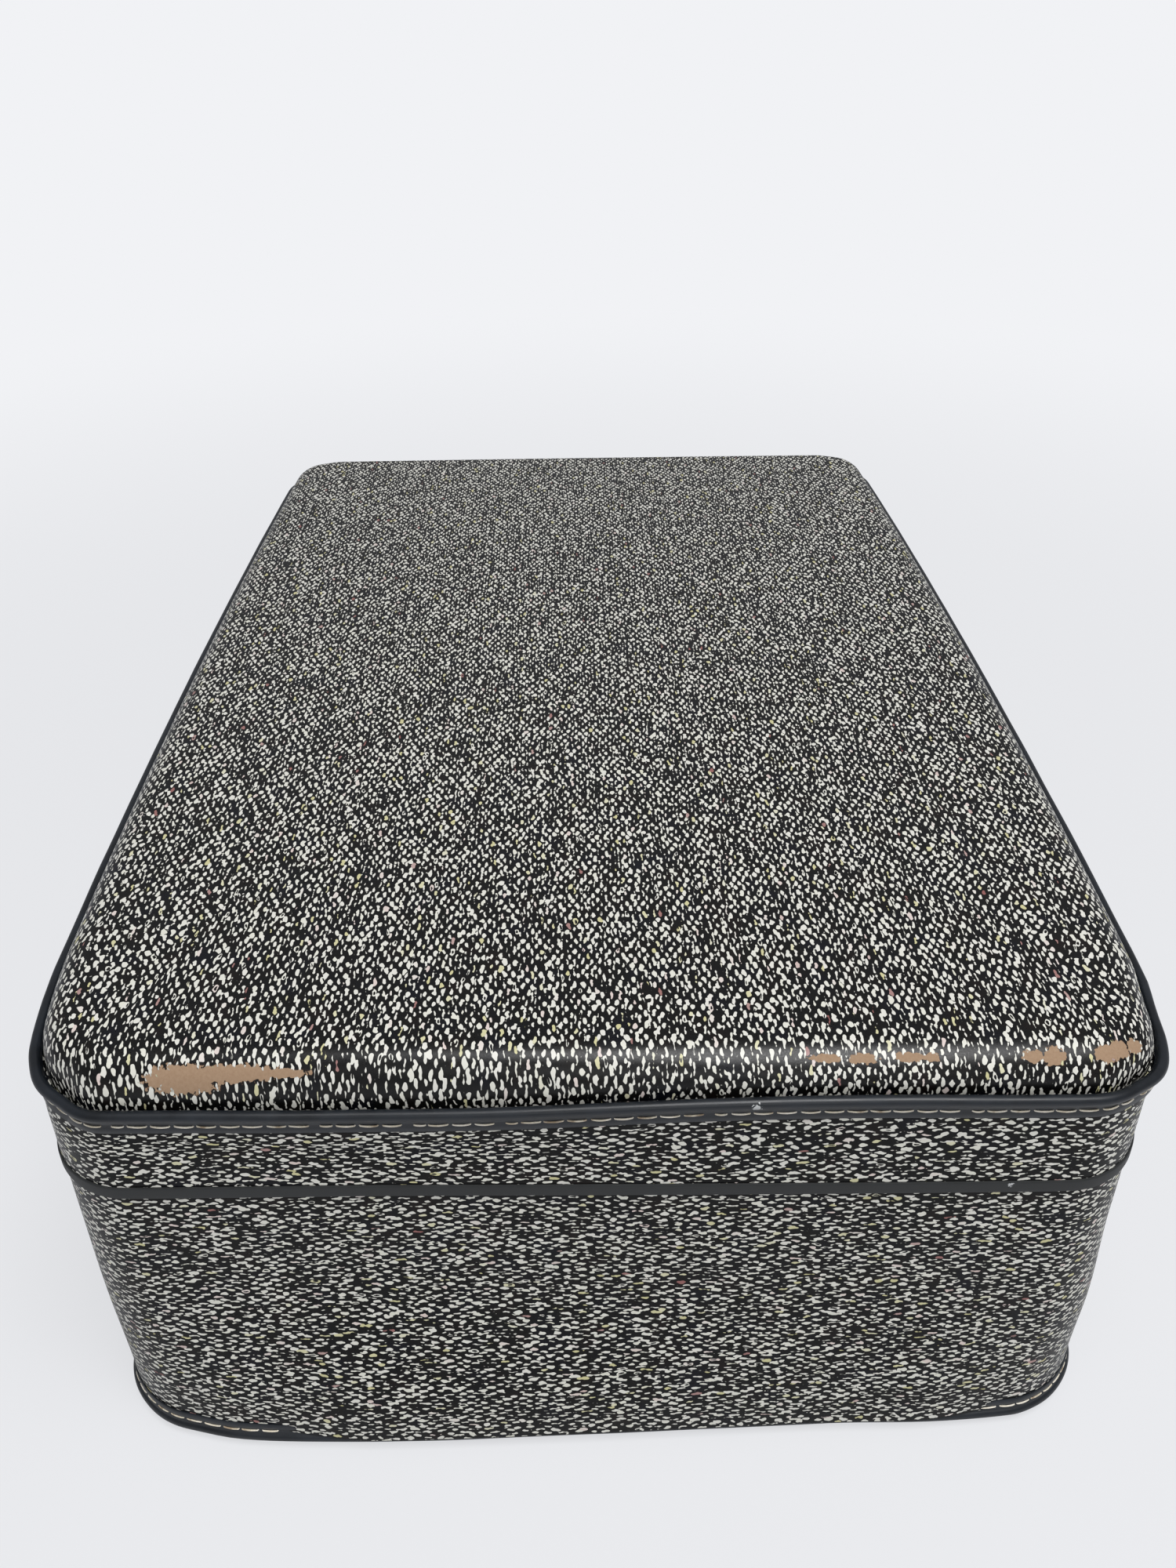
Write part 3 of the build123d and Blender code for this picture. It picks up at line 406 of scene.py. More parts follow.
def lining_paper(name):
    """Matt grey lining paper, printed with a fine crossed line every 2.4 mm, like woven cloth."""
    finish, tree = new_finish(name, 0.8)
    place = add(tree, "ShaderNodeTexCoord").outputs["Object"]
    lines = []
    for degrees in (0, 90):
        turned = add(tree, "ShaderNodeVectorRotate", {0: place, 3: math.radians(degrees)})
        weave = {"Vector": turned, "Scale": 130.0, "Distortion": 1.2, "Detail": 2.0}
        lines.append(add(tree, "ShaderNodeTexWave", weave))
    cross = add(tree, "ShaderNodeMath", {0: lines[0], 1: lines[1]}, operation="MULTIPLY")
    cloud = add(tree, "ShaderNodeTexNoise", {"Vector": place, "Scale": 14.0, "Detail": 4.0})
    mixed = add(tree, "ShaderNodeMath", {0: cross, 1: 0.5, 2: cloud}, operation="MULTIPLY_ADD")
    grey = add(tree, "ShaderNodeValToRGB", {0: mixed}, ((0.35, "#9c9c97"), (0.95, "#bdbdb6")))
    return dressed(finish, mixed, 0.4, 0.08 * MM, grey)


def fibreboard(name):
    """Cut edge and worn face of pressed brown fibreboard: matt, with fibres about a millimetre long."""
    finish, tree = new_finish(name, 0.85)
    place = add(tree, "ShaderNodeTexCoord").outputs["Object"]
    short = {"Vector": place, "Scale": 900.0, "Detail": 5.0, "Distortion": 0.8}
    fibres = add(tree, "ShaderNodeTexNoise", short)
    brown = add(tree, "ShaderNodeValToRGB", {0: fibres}, ((0.3, "#8a6d50"), (0.7, "#b39674")))
    return dressed(finish, fibres, 0.5, 0.1 * MM, brown)


wall_film = tweed_film("printed_vinyl_on_walls")
paper = lining_paper("lining_paper")
board = fibreboard("fibreboard")
wall_low, wall_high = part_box("case_wall_board")
body_face = half_y - wall_high.y
body_wall = 3.4 * MM
belly = 3.2 * MM
belly_drop = 1.4 * MM
belly_middle = 17 * MM
belly_half = 108 * MM
belly_fade = 45 * MM
belly_top = 95 * MM
wave_height = 0.12 * MM
waves_per_m = 12


def belly_share(x, y):
    """Share of the belly at a place on the plan: 1 across the middle of the near end, 0 elsewhere."""
    return smooth(1 - (abs(y - belly_middle) - belly_half) / belly_fade) if x > 0 else 0.0


def wall_bend(x, y, z, inset):
    """The belly at the near end, and a slight wave all over the outer face."""
    if inset > body_face + MM:
        return 0.0, 0.0
    share = belly_share(x, y)
    rise = smooth(1 - (z - wall_low.z) / (belly_top - wall_low.z))
    wave = noise.noise(Vector((x, y, z)) * waves_per_m) * wave_height
    drop = belly_drop * share * (1.0 if z - wall_low.z < MM else 0.0)
    return belly * share * rise + wave, -drop


edge = 0.5 * MM
wall_rows = 26
wall_rise = wall_high.z - wall_low.z
outer = [(body_face, wall_low.z + wall_rise * i / wall_rows) for i in range(wall_rows + 1)]
outer[0] = (body_face, outer[0][1] + edge)
outer[-1] = (body_face, outer[-1][1] - edge)
inner = [(body_face + body_wall, wall_high.z), (body_face + body_wall, wall_low.z)]
profile = [(body_face + edge, wall_low.z)] + outer + [(body_face + edge, wall_high.z)] + inner
marks = [0] * (wall_rows + 2) + [1, 2, 1]
case_wall = carried_round("case_wall", profile, [wall_film, board, paper], marks, wall_bend)
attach(case_wall, "case")
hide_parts("case_wall_board")


# Base pan and floor lining: a shallow pressed tray of the same printed board, stitched inside the
# foot of the wall, and a loose panel of paper-covered card laid on its floor.
settled_from = 0.6


def pan(name, rings, top_rings, finishes, bend=None):
    """Shell closed over in the middle: outer rings from the rim to the centre, then inner rings back."""
    points, faces, uvs, marks = [], [], [], []
    n = len(line)

    def loop(inset, z, scale):
        made = []
        for point, way, distance in line:
            spot = (point - way * inset) * scale
            lift = bend(spot.x, spot.y) if bend else 0.0
            bows = smooth((scale - settled_from) / (1 - settled_from))
            made.append(settled(spot, way, distance, z + lift, bows))
        return made

    def flat_place(i, inset, scale, reach):
        point, way, _ = line[i % n]
        x, y = (point - way * inset) * scale + way * reach
        return x / MM, y / MM

    every = rings + top_rings
    for inset, z, scale, _ in every:
        points += loop(inset, z, scale)
    for j in range(len(every)):
        k = (j + 1) % len(every)
        if j == len(rings) - 1:
            continue
        for i in range(n):
            m = (i + 1) % n
            faces.append((j * n + i, j * n + m, k * n + m, k * n + i))
            marks.append(0 if j < len(rings) else 1)
            for q, r in ((j, i), (j, i + 1), (k, i + 1), (k, i)):
                inset, _, scale, reach = every[q]
                uvs.append(flat_place(r, inset, scale, reach))
    for last, mark in ((len(rings) - 1, 0), (len(rings), 1)):
        inset, z, scale, _ = every[last]
        points.append((0, 0, z + (bend(0, 0) if bend else 0.0)))
        for i in range(n):
            pair = (last * n + i, last * n + (i + 1) % n)
            faces.append((*pair, len(points) - 1) if mark == 0 else (*pair[::-1], len(points) - 1))
            marks.append(mark)
            near = [flat_place(i, inset, scale, 0), flat_place(i + 1, inset, scale, 0)]
            uvs += (near if mark == 0 else near[::-1]) + [(0.0, 0.0)]
    return make_piece(name, points, faces, finishes, marks, uvs)


shrink = (1.0, 0.9, 0.75, 0.5, 0.25)
base_low, base_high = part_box("case_base_board")
base_in = half_y - base_high.y
base_t = 2.8 * MM
skirt_t = 2.0 * MM
base_shoulder = 3.6 * MM
hollow_cut = 1.5 * MM
rings = [(base_in, base_high.z, 1.0, 0.0), (base_in, base_low.z + base_shoulder, 1.0, 0.0)]
rings += [(base_in + base_shoulder, base_low.z, s, 0.0) for s in shrink]
inside = base_in + skirt_t
top_rings = [(inside + hollow_cut, base_t, s, 0.0) for s in reversed(shrink)]
top_rings += [(inside, base_t + hollow_cut, 1.0, 0.0), (inside, base_high.z, 1.0, 0.0)]
case_base = pan("case_base", rings, top_rings, [wall_film, paper])
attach(case_base, "case")
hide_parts("case_base_board")


def card(name, node, body, rounded=0.5 * MM):
    """Loose lining panel with softened edges, in the place of a CAD node."""
    low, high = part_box(node)
    inset = half_y - high.y
    lower = [(inset + rounded, low.z, s, 0.0) for s in shrink[::-1]]
    upper = [(inset + rounded, high.z, s, 0.0) for s in shrink]
    rims = [(inset, low.z + rounded, 1.0, 0.0), (inset, high.z - rounded, 1.0, 0.0)]
    rings = [lower[-1]] + rims + upper
    piece = pan(name, rings, lower[:-1], [paper, paper])
    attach(piece, body)
    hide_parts(node)


card("floor_lining", "case_floor_panel", "case")


# Locating frame: a strip of fibreboard, papered inside, glued in the mouth of the case so that
# the lid closes over it. Its top edge is rounded.
frame_low, frame_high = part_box("case_locating_frame")
lip_in = half_y - frame_high.y
lip_t = 1.8 * MM
lip_round = 0.6 * MM
profile = [
    (lip_in, frame_low.z),
    (lip_in, frame_high.z - lip_round),
    (lip_in + lip_round / 2, frame_high.z - lip_round / 4),
    (lip_in + lip_t / 2, frame_high.z),
    (lip_in + lip_t - lip_round / 2, frame_high.z - lip_round / 4),
    (lip_in + lip_t, frame_high.z - lip_round),
    (lip_in + lip_t, frame_low.z),
]
locating_frame = carried_round("locating_frame", profile, [board, paper], [0, 0, 0, 0, 1, 1, 0])
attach(locating_frame, "case")
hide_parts("case_locating_frame")


# Base piping: black extruded vinyl, a round bead with a flat flange, stitched to the foot of the
# wall. The bead takes the knocks, so it is a little uneven and scuffed grey.
def extruded_vinyl(name, dark="#0f1318", pale="#20262e", roughness=0.3, chips=()):
    """Black extruded vinyl: soft shine, a dusty bloom, and ragged white chips where it was knocked."""
    finish, tree = new_finish(name, roughness)
    place = add(tree, "ShaderNodeTexCoord").outputs["Object"]
    dusty = {"Vector": place, "Scale": 55.0, "Detail": 6.0, "Roughness": 0.6}
    bloom = add(tree, "ShaderNodeTexNoise", dusty)
    colour = add(tree, "ShaderNodeValToRGB", {0: bloom}, ((0.35, dark), (0.8, pale))).outputs[0]
    ragged = add(tree, "ShaderNodeTexNoise", {"Vector": place, "Scale": 1100.0, "Detail": 2.0})
    for spot, size in chips:
        away = add(tree, "ShaderNodeVectorMath", {0: place, 1: spot}, operation="DISTANCE").outputs["Value"]
        rough = add(tree, "ShaderNodeMath", {0: ragged, 1: size * 3, 2: away}, operation="MULTIPLY_ADD")
        chip = add(tree, "ShaderNodeMapRange", {0: rough, 1: size * 2.5, 2: size * 2.3})
        mixed = add(tree, "ShaderNodeMix", {0: chip, 6: colour, 7: linear("#b9bbbb")}, data_type="RGBA")
        colour = mixed.outputs[2]
    gloss = add(tree, "ShaderNodeMapRange", {0: bloom, 1: 0.3, 2: 0.75, 3: roughness, 4: roughness + 0.18})
    fine = add(tree, "ShaderNodeTexNoise", {"Vector": place, "Scale": 700.0, "Detail": 3.0})
    return dressed(finish, fine, 0.12, 0.1 * MM, colour, gloss)


def sewing_thread(name):
    """Waxed cotton thread, off-white and grubby, with the twist of its plies."""
    finish, tree = new_finish(name, 0.7)
    place = add(tree, "ShaderNodeTexCoord").outputs["Object"]
    soil = add(tree, "ShaderNodeTexNoise", {"Vector": place, "Scale": 160.0, "Detail": 3.0})
    grubby = ((0.34, "#a8957c"), (0.44, "#e6dcc6"), (0.62, "#f6efe0"))
    cotton = add(tree, "ShaderNodeValToRGB", {0: soil}, grubby)
    twist = {"Vector": place, "Scale": 420.0, "Distortion": 2.0}
    ply = add(tree, "ShaderNodeTexWave", twist, bands_direction="DIAGONAL")
    return dressed(finish, ply, 0.5, 0.15 * MM, cotton)


def along(distance, inset):
    """Point and outward direction on the plan line, moved in by inset."""
    distance %= girth
    i = bisect_right([s for _, _, s in line], distance) - 1
    point, way, s0 = line[i]
    other, turn, s1 = line[(i + 1) % len(line)]
    t = (distance - s0) / ((s1 or girth) - s0)
    way = (way * (1 - t) + turn * t).normalized()
    return point * (1 - t) + other * t - way * inset, way


def skin(rows, sides, turned_over=False):
    """Faces over rows of points round a bar, with both ends closed."""
    faces = []
    for i in range(rows - 1):
        for k in range(sides):
            m = (k + 1) % sides
            face = (i * sides + k, (i + 1) * sides + k, (i + 1) * sides + m, i * sides + m)
            faces.append((face[0], *face[:0:-1]) if turned_over else face)
    first, last = tuple(range(sides)), tuple(range((rows - 1) * sides, rows * sides))
    return faces + ([first[::-1], last] if turned_over else [first, last[::-1]])


def direction(path, i):
    """Way along a path at one of its points."""
    return (path[min(i + 1, len(path) - 1)] - path[max(i - 1, 0)]).normalized()


def tube(path, radii, sides=7):
    """Points and faces of a round tube along a level path, closed at both ends."""
    points = []
    for i, (here, radius) in enumerate(zip(path, radii)):
        ahead = direction(path, i)
        side = ahead.cross(Vector((0, 0, 1))).normalized()
        over = side.cross(ahead)
        for k in range(sides):
            a = math.tau * k / sides
            points.append(here + side * math.cos(a) * radius + over * math.sin(a) * radius)
    return points, skin(len(path), sides)


def take_in(points, faces, shape):
    """Adds one shape's points and faces to those of a piece."""
    faces += [tuple(v + len(points) for v in face) for face in shape[1]]
    points += shape[0]


stitch_pitch = 7.9 * MM
stitch_length = 7.6 * MM
stitch_steps = 10
short_share, short_length = 0.05, 0.6
thread_r = 0.36 * MM
hole_depth = 1.0 * MM
hole_share = 0.16


def row_of_stitches(name, inset, z, body, skip=None):
    """Lockstitches round the whole flange, each a short thread that dips into its holes."""
    points, faces = [], []
    count = round(girth / stitch_pitch)
    for number in range(count):
        start = girth * number / count + random.uniform(-0.2, 0.2) * MM
        slope = random.uniform(-0.25, 0.25) * MM
        sag = random.uniform(0.3, 0.6) * MM
        share = short_length if random.random() < short_share else random.uniform(0.94, 1.02)
        if skip and skip(*along(start, inset)[0]):
            continue
        path, radii = [], []
        for step in range(stitch_steps + 1):
            t = step / stitch_steps
            hump = math.sin(math.pi * t)
            dip = hole_depth * max(0.0, abs(2 * t - 1) - (1 - hole_share)) / hole_share
            distance = (start + stitch_length * share * t) % girth
            spot, way = along(distance, inset - thread_r * 0.55 + dip)
            path.append(settled(spot, way, distance, z + slope * (t - 0.5) - sag * hump))
            radii.append(thread_r * (0.8 + 0.2 * hump))
        take_in(points, faces, tube(path, radii))
    piece = make_piece(name, points, faces, [thread], angle=80)
    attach(piece, body)


def uneven(amount, per_m=25):
    """Bend that makes a soft edge wander in and out, and up and down."""
    def bend(x, y, z, inset):
        return tuple(noise.noise(Vector(spot) * per_m) * amount for spot in ((x, y, z), (y, z, x)))
    return bend


def arc(centre_inset, centre_z, radius, start, stop, steps):
    """Points of a round bead's section; 0 degrees faces out and 90 is the top."""
    made = []
    for i in range(steps + 1):
        a = math.radians(start + (stop - start) * i / steps)
        made.append((centre_inset - radius * math.cos(a), centre_z + radius * math.sin(a)))
    return made


thread = sewing_thread("waxed_cotton_thread")
bead_r = 2.1 * MM
cad_bead_r = 2.8 * MM
flange_t = 0.7 * MM
flange_top = 12.9 * MM
flange_side, flange_nose = 0.4 * MM, 0.3 * MM
tuck = 0.2 * MM
groove, groove_half = 0.25 * MM, 1.1 * MM
piping_low, piping_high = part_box("base_piping")
base_bead_in = half_y - piping_high.y + bead_r
base_bead_z = piping_low.z + cad_bead_r
bead_back = base_in + 0.3 * MM
flange_face = body_face - flange_t
base_stitch_z = 9.3 * MM
profile = arc(base_bead_in, base_bead_z, bead_r, -180, 64, 18)
profile += [
    (flange_face, base_stitch_z - groove_half),
    (flange_face + groove, base_stitch_z),
    (flange_face, base_stitch_z + groove_half),
    (flange_face, flange_top - flange_side),
    (flange_face + flange_nose, flange_top),
    (body_face + tuck, flange_top),
    (body_face + tuck, base_bead_z + bead_r),
    (bead_back, base_bead_z + bead_r),
    (bead_back, base_bead_z + bead_r * 0.2),
]
piping = extruded_vinyl("extruded_black_vinyl")
base_piping = carried_round("base_piping_bead", profile, [piping], None, uneven(0.2 * MM))
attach(base_piping, "case")
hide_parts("base_piping")
hidden = 0.15
row_of_stitches(
    "base_piping_stitches",
    flange_face + groove,
    base_stitch_z,
    "case",
    lambda x, y: belly_share(x, y) > hidden,
)


# Upper wall: the lid's strip, cut from the same printed board and stitched under the top's piping.
# The film is turned over its upper edge.
lid_wall_low, lid_wall_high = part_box("lid_wall_board")
lid_face = half_y - lid_wall_high.y
lid_wall_t = 2.8 * MM


def lid_wall_bend(x, y, z, inset):
    """A slight wave over the outer face."""
    wave = noise.noise(Vector((y, x, z)) * waves_per_m) * wave_height
    return (wave if inset < lid_face + MM else 0.0), 0.0


lid_rows = 10
lid_rise = lid_wall_high.z - lid_wall_low.z
outer = [(lid_face, lid_wall_low.z + lid_rise * i / lid_rows) for i in range(lid_rows + 1)]
inner = [(lid_face + lid_wall_t, lid_wall_high.z), (lid_face + lid_wall_t, lid_wall_low.z)]
marks = [0] * lid_rows + [0, 2, 1]
lid_wall = carried_round("lid_wall", outer + inner, [wall_film, board, paper], marks, lid_wall_bend)
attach(lid_wall, "lid")
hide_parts("lid_wall_board")


# Lid top: one pressed sheet of printed board, drawn down over a round shoulder. The shoulder's
# film is rubbed through to bare board at the near corners.
top_low, top_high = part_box("lid_top_board")
top_in = half_y - top_high.y
top_t = 2.8 * MM
shoulder_r = 14.0 * MM
shoulder_steps = 16
hollow = 8.0 * MM
dome = 0.8 * MM
top_wave = 0.5 * MM
top_waves_per_m = 9


def top_bend(x, y):
    """A slight dome and some waves in the flat of the top."""
    fall = max(0.0, 1 - (x / half_x) ** 2) * max(0.0, 1 - (y / half_y) ** 2)
    return fall * (dome + noise.noise(Vector((x, y, 0)) * top_waves_per_m) * top_wave)


flat_inset = top_in + shoulder_r
shoulder_z = top_high.z - shoulder_r
rings = []
for step in range(shoulder_steps + 1):
    a = math.pi / 2 * step / shoulder_steps
    inset = flat_inset - shoulder_r * math.cos(a)
    reach = inset - flat_inset + shoulder_r * (math.pi / 2 - a)
    rings.append((inset, shoulder_z + shoulder_r * math.sin(a), 1.0, reach))
rings.insert(0, (top_in, top_low.z, 1.0, rings[0][3] + rings[0][1] - top_low.z))
rings += [(flat_inset, top_high.z, s, 0.0) for s in (0.985, 0.95, 0.9, 0.8, 0.65, 0.5, 0.35, 0.2, 0.08)]
inside = top_in + skirt_t
top_rings = [(inside + hollow, top_high.z - top_t, s, 0.0) for s in reversed(shrink)]
top_rings += [(inside, top_high.z - top_t - hollow, 1.0, 0.0), (inside, top_low.z, 1.0, 0.0)]
edge_u = (half_x - flat_inset) / MM
# Each patch: its middle, outward from where the flat ends and along the end, and its half sizes.
bare_patches = [
    (edge_u + arc_out, y, half_u, half_v)
    for arc_out, y, half_u, half_v in (
        (13.1, -140.5, 4.2, 12.5), (11.9, -124.0, 2.6, 16.0), (12.0, -107.0, 1.3, 9.0),
        (9.0, 76.5, 1.5, 5.0), (9.3, 89.0, 1.9, 5.0), (8.8, 104.5, 1.7, 4.6), (9.0, 112.0, 1.4, 3.0),
        (8.7, 146.5, 2.2, 3.6), (8.8, 153.5, 3.4, 4.0), (8.2, 172.0, 3.2, 4.5), (7.0, 177.5, 3.0, 4.5),
        (4.6, 184.5, 2.4, 3.4),
    )
]
top_film = tweed_film("printed_vinyl_on_top", bare_patches, 0.32)
lid_top = pan("lid_top", rings, top_rings, [top_film, paper], top_bend)
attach(lid_top, "lid")
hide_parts("lid_top_board")
card("ceiling_lining", "lid_ceiling_panel", "lid")


# Top piping: the same extrusion as at the base, stitched round the lid with its bead up.
lid_bead_low, lid_bead_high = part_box("lid_piping")
lid_bead_z = lid_bead_high.z - cad_bead_r
lid_flange_face = lid_face - flange_t
lid_stitch_z = lid_bead_low.z + 3.8 * MM
profile = [
    (lid_face + tuck, lid_bead_low.z),
    (lid_flange_face + flange_nose, lid_bead_low.z),
    (lid_flange_face, lid_bead_low.z + flange_side),
    (lid_flange_face, lid_stitch_z - groove_half),
    (lid_flange_face + groove, lid_stitch_z),
    (lid_flange_face, lid_stitch_z + groove_half),
]
profile += arc(bead_r, lid_bead_z, bead_r, -76, 180, 20)
profile += [
    (2 * bead_r + 0.4 * MM, lid_bead_z - bead_r * 0.2),
    (lid_face + tuck, lid_bead_z - bead_r * 1.05),
]


def knocked(y, inset, z, size):
    """Place and size of a chip on the near end, y from the end's middle."""
    distance = girth / 4 - y
    spot, way = along(distance, inset)
    return settled(spot, way, distance, z), size


bead_chips = [knocked(52.6 * MM, 0.1 * MM, lid_bead_z - 0.2 * MM, 1.6 * MM)]
lid_vinyl = extruded_vinyl("extruded_black_vinyl_of_lid", chips=bead_chips)
lid_piping = carried_round("lid_piping_bead", profile[::-1], [lid_vinyl], None, uneven(0.18 * MM))
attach(lid_piping, "lid")
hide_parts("lid_piping")
row_of_stitches("lid_piping_stitches", lid_flange_face + groove, lid_stitch_z, "lid")


# Rim strip: a black vinyl channel pressed over the lower edge of the lid, cut away behind at the
# hinge leaves.
strip_low, strip_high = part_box("lid_edge_strip")
strip_face = half_y - strip_high.y
leg_in = lid_face + lid_wall_t
leg_t = 0.5 * MM
leg_top = 144.0 * MM
web_top = lid_wall_low.z


def strip_bend(x, y, z, inset):
    """Cuts the outer leg back to the wall behind the hinge leaves."""
    cut = y > 0 and notch[0] < abs(x) < notch[1] and inset < lid_face
    return (inset - lid_face - 0.02 * MM if cut else 0.0), 0.0


low, high = strip_low.z, strip_high.z
profile = [
    (lid_face, high),
    (strip_face + 0.3 * MM, high - 0.05 * MM),
    (strip_face + 0.05 * MM, high - 0.35 * MM),
    (strip_face, high - 0.9 * MM),
    (strip_face, low + 0.9 * MM),
    (strip_face + 0.1 * MM, low + 0.3 * MM),
    (strip_face + 0.5 * MM, low),
    (leg_in, low),
    (leg_in + leg_t, low + 0.4 * MM),
    (leg_in + leg_t, leg_top),
    (leg_in, leg_top),
    (leg_in, web_top),
    (lid_face, web_top),
]
strip_chips = [knocked(145 * MM, strip_face, strip_high.z - 1.5 * MM, 1.0 * MM)]
channel = extruded_vinyl("soft_vinyl_channel", "#1c1e1e", "#2c2e2f", 0.5, strip_chips)
rim_strip = carried_round("rim_strip", profile, [channel], None, strip_bend)
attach(rim_strip, "lid")
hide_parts("lid_edge_strip")


# Hinges, locks and hasps: pressed steel with a worn nickel plate, and turned brass key barrels.
# The CAD pieces stay; their edges are eased and they get their finishes.
def worn_metal(name, bright, dull, roughness):
    """Old pressed or turned metal: bright where it is rubbed, with dull spots a centimetre across."""
    finish, tree = new_finish(name, roughness, {"Metallic": 1.0})
    place = add(tree, "ShaderNodeTexCoord").outputs["Object"]
    spots = {"Vector": place, "Scale": 90.0, "Detail": 6.0, "Roughness": 0.65}
    cloud = add(tree, "ShaderNodeTexNoise", spots)
    tarnish = add(tree, "ShaderNodeValToRGB", {0: cloud}, ((0.35, dull), (0.62, bright)))
    rubbed = {0: cloud, 1: 0.35, 2: 0.65, 3: roughness * 1.7, 4: roughness * 0.8}
    gloss = add(tree, "ShaderNodeMapRange", rubbed)
    fine = add(tree, "ShaderNodeTexNoise", {"Vector": place, "Scale": 1500.0, "Detail": 2.0})
    return dressed(finish, fine, 0.08, 0.05 * MM, tarnish, gloss)


def smooth_by_angle():
    """Modifier tree that shades smooth and keeps edges sharper than 30 degrees sharp."""
    tree = bpy.data.node_groups.new("smooth_by_angle", "GeometryNodeTree")
    for way in ("INPUT", "OUTPUT"):
        tree.interface.new_socket("Geometry", in_out=way, socket_type="NodeSocketGeometry")
    start = add(tree, "NodeGroupInput")
    turn = add(tree, "GeometryNodeInputMeshEdgeAngle")
    gentle = add(tree, "FunctionNodeCompare", {0: turn, 1: math.radians(30)}, operation="LESS_THAN")
    faces = add(tree, "GeometryNodeSetShadeSmooth", {0: start})
    edges = add(tree, "GeometryNodeSetShadeSmooth", {0: faces, 1: gentle}, domain="EDGE")
    add(tree, "NodeGroupOutput", {0: edges})
    return tree


def finish_node(node, finish, eased=0.0):
    """Gives a CAD node its finish and, where it shows, eased edges."""
    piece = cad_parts[node]
    piece.data.materials.clear()
    piece.data.materials.append(finish)
    if eased:
        weld = piece.modifiers.new("weld", "WELD")
        weld.merge_threshold = 0.002 * MM
        bevel = piece.modifiers.new("eased", "BEVEL")
        bevel.width = eased
        bevel.segments = 2
        bevel.limit_method = "ANGLE"
        bevel.angle_limit = math.radians(35)
        soft = piece.modifiers.new("shading", "NODES")
        soft.node_group = shading


def islands(node):
    """Middle and size of each separate solid of a CAD node."""
    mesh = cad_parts[node].data
    near, root = {}, {}

    def find(a):
        while root[a] != a:
            root[a] = root[root[a]]
            a = root[a]
        return a

    for vertex in mesh.vertices:
        key = tuple(round(c, 6) for c in vertex.co)
        near[vertex.index] = key
        root.setdefault(key, key)
    for face in mesh.polygons:
        first = find(near[face.vertices[0]])
        for other in face.vertices[1:]:
            root[find(near[other])] = first
    groups = {}
    for key in root:
        groups.setdefault(find(key), []).append(Vector(key))
    middles = []
    for members in groups.values():
        low = Vector(min(p[i] for p in members) for i in range(3))
        high = Vector(max(p[i] for p in members) for i in range(3))
        middles.append(((low + high) / 2, high - low))
    return sorted(middles, key=lambda m: tuple(m[0]))


def turned(profile, place, way, sides=28):
    """Points and faces of a profile of (radius, height) turned about way at place."""
    to = way.to_track_quat("Z", "Y")
    points = []
    for radius, height in profile:
        for k in range(sides):
            a = math.tau * k / sides
            points.append(place + to @ Vector((radius * math.cos(a), radius * math.sin(a), height)))
    return points, skin(len(profile), sides, turned_over=True)


def domed_heads(name, node, body, out):
    """Domed rivet heads where a CAD node has its rivets; out is the sign of Y that they face."""
    points, faces = [], []
    head_r, head_h, head_steps = 2.5 * MM, 1.15 * MM, 8
    ball = (head_r**2 + head_h**2) / (2 * head_h)
    profile = []
    for i in range(head_steps + 1):
        r = head_r * (1 - i / head_steps * 0.98)
        profile.append((r, math.sqrt(ball * ball - r * r) - ball + head_h))
    for middle, size in islands(node):
        base = Vector((middle.x, middle.y - out * size.y / 2, middle.z))
        take_in(points, faces, turned(profile, base, Vector((0, out, 0))))
    piece = make_piece(name, points, faces, [nickel], angle=50)
    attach(piece, body)
    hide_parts(node)


shading = smooth_by_angle()
nickel = worn_metal("worn_nickel_plate", "#c9c3b6", "#8f897c", 0.2)
brass = worn_metal("worn_brass", "#bfa062", "#86683a", 0.28)
steel = worn_metal("bare_steel_strip", "#a7a6a2", "#77746e", 0.4)
for side in ("left", "right"):
    for part in ("hinge_case_leaf", "hinge_lid_leaf", "lock_backplate", "lock_housing", "slide_bolt",
                 "slide_button", "hasp", "hasp_staple", "hasp_plate"):
        finish_node(f"{part}_{side}", nickel, 0.22 * MM)
    finish_node(f"key_barrel_{side}", brass, 0.3 * MM)
finish_node("hinge_pins", steel, 0.2 * MM)
finish_node("hasp_pins", steel, 0.2 * MM)
domed_heads("case_hinge_rivets", "hinge_case_rivets", "case", 1)
domed_heads("lid_hinge_rivets", "hinge_lid_rivets", "lid", 1)
domed_heads("lock_rivet_heads", "lock_rivets", "case", -1)
domed_heads("hasp_rivet_heads", "hasp_plate_rivets", "lid", -1)


# Handle: a moulded black plastic grip on a steel strip, held by nickelled eyes between the ears
# of two riveted brackets.
def moulded_plastic(name):
    """Black moulded plastic with a fine leather grain and a rubbed shine."""
    finish, tree = new_finish(name, 0.38, {"Base Color": linear("#1b1b1d")})
    place = add(tree, "ShaderNodeTexCoord").outputs["Object"]
    grain = add(tree, "ShaderNodeTexVoronoi", {"Vector": place, "Scale": 900.0}, feature="DISTANCE_TO_EDGE")
    shine = add(tree, "ShaderNodeTexNoise", {"Vector": place, "Scale": 60.0, "Detail": 4.0})
    gloss = add(tree, "ShaderNodeMapRange", {0: shine, 1: 0.3, 2: 0.7, 3: 0.3, 4: 0.48})
    return dressed(finish, grain, 0.35, 0.2 * MM, gloss=gloss)


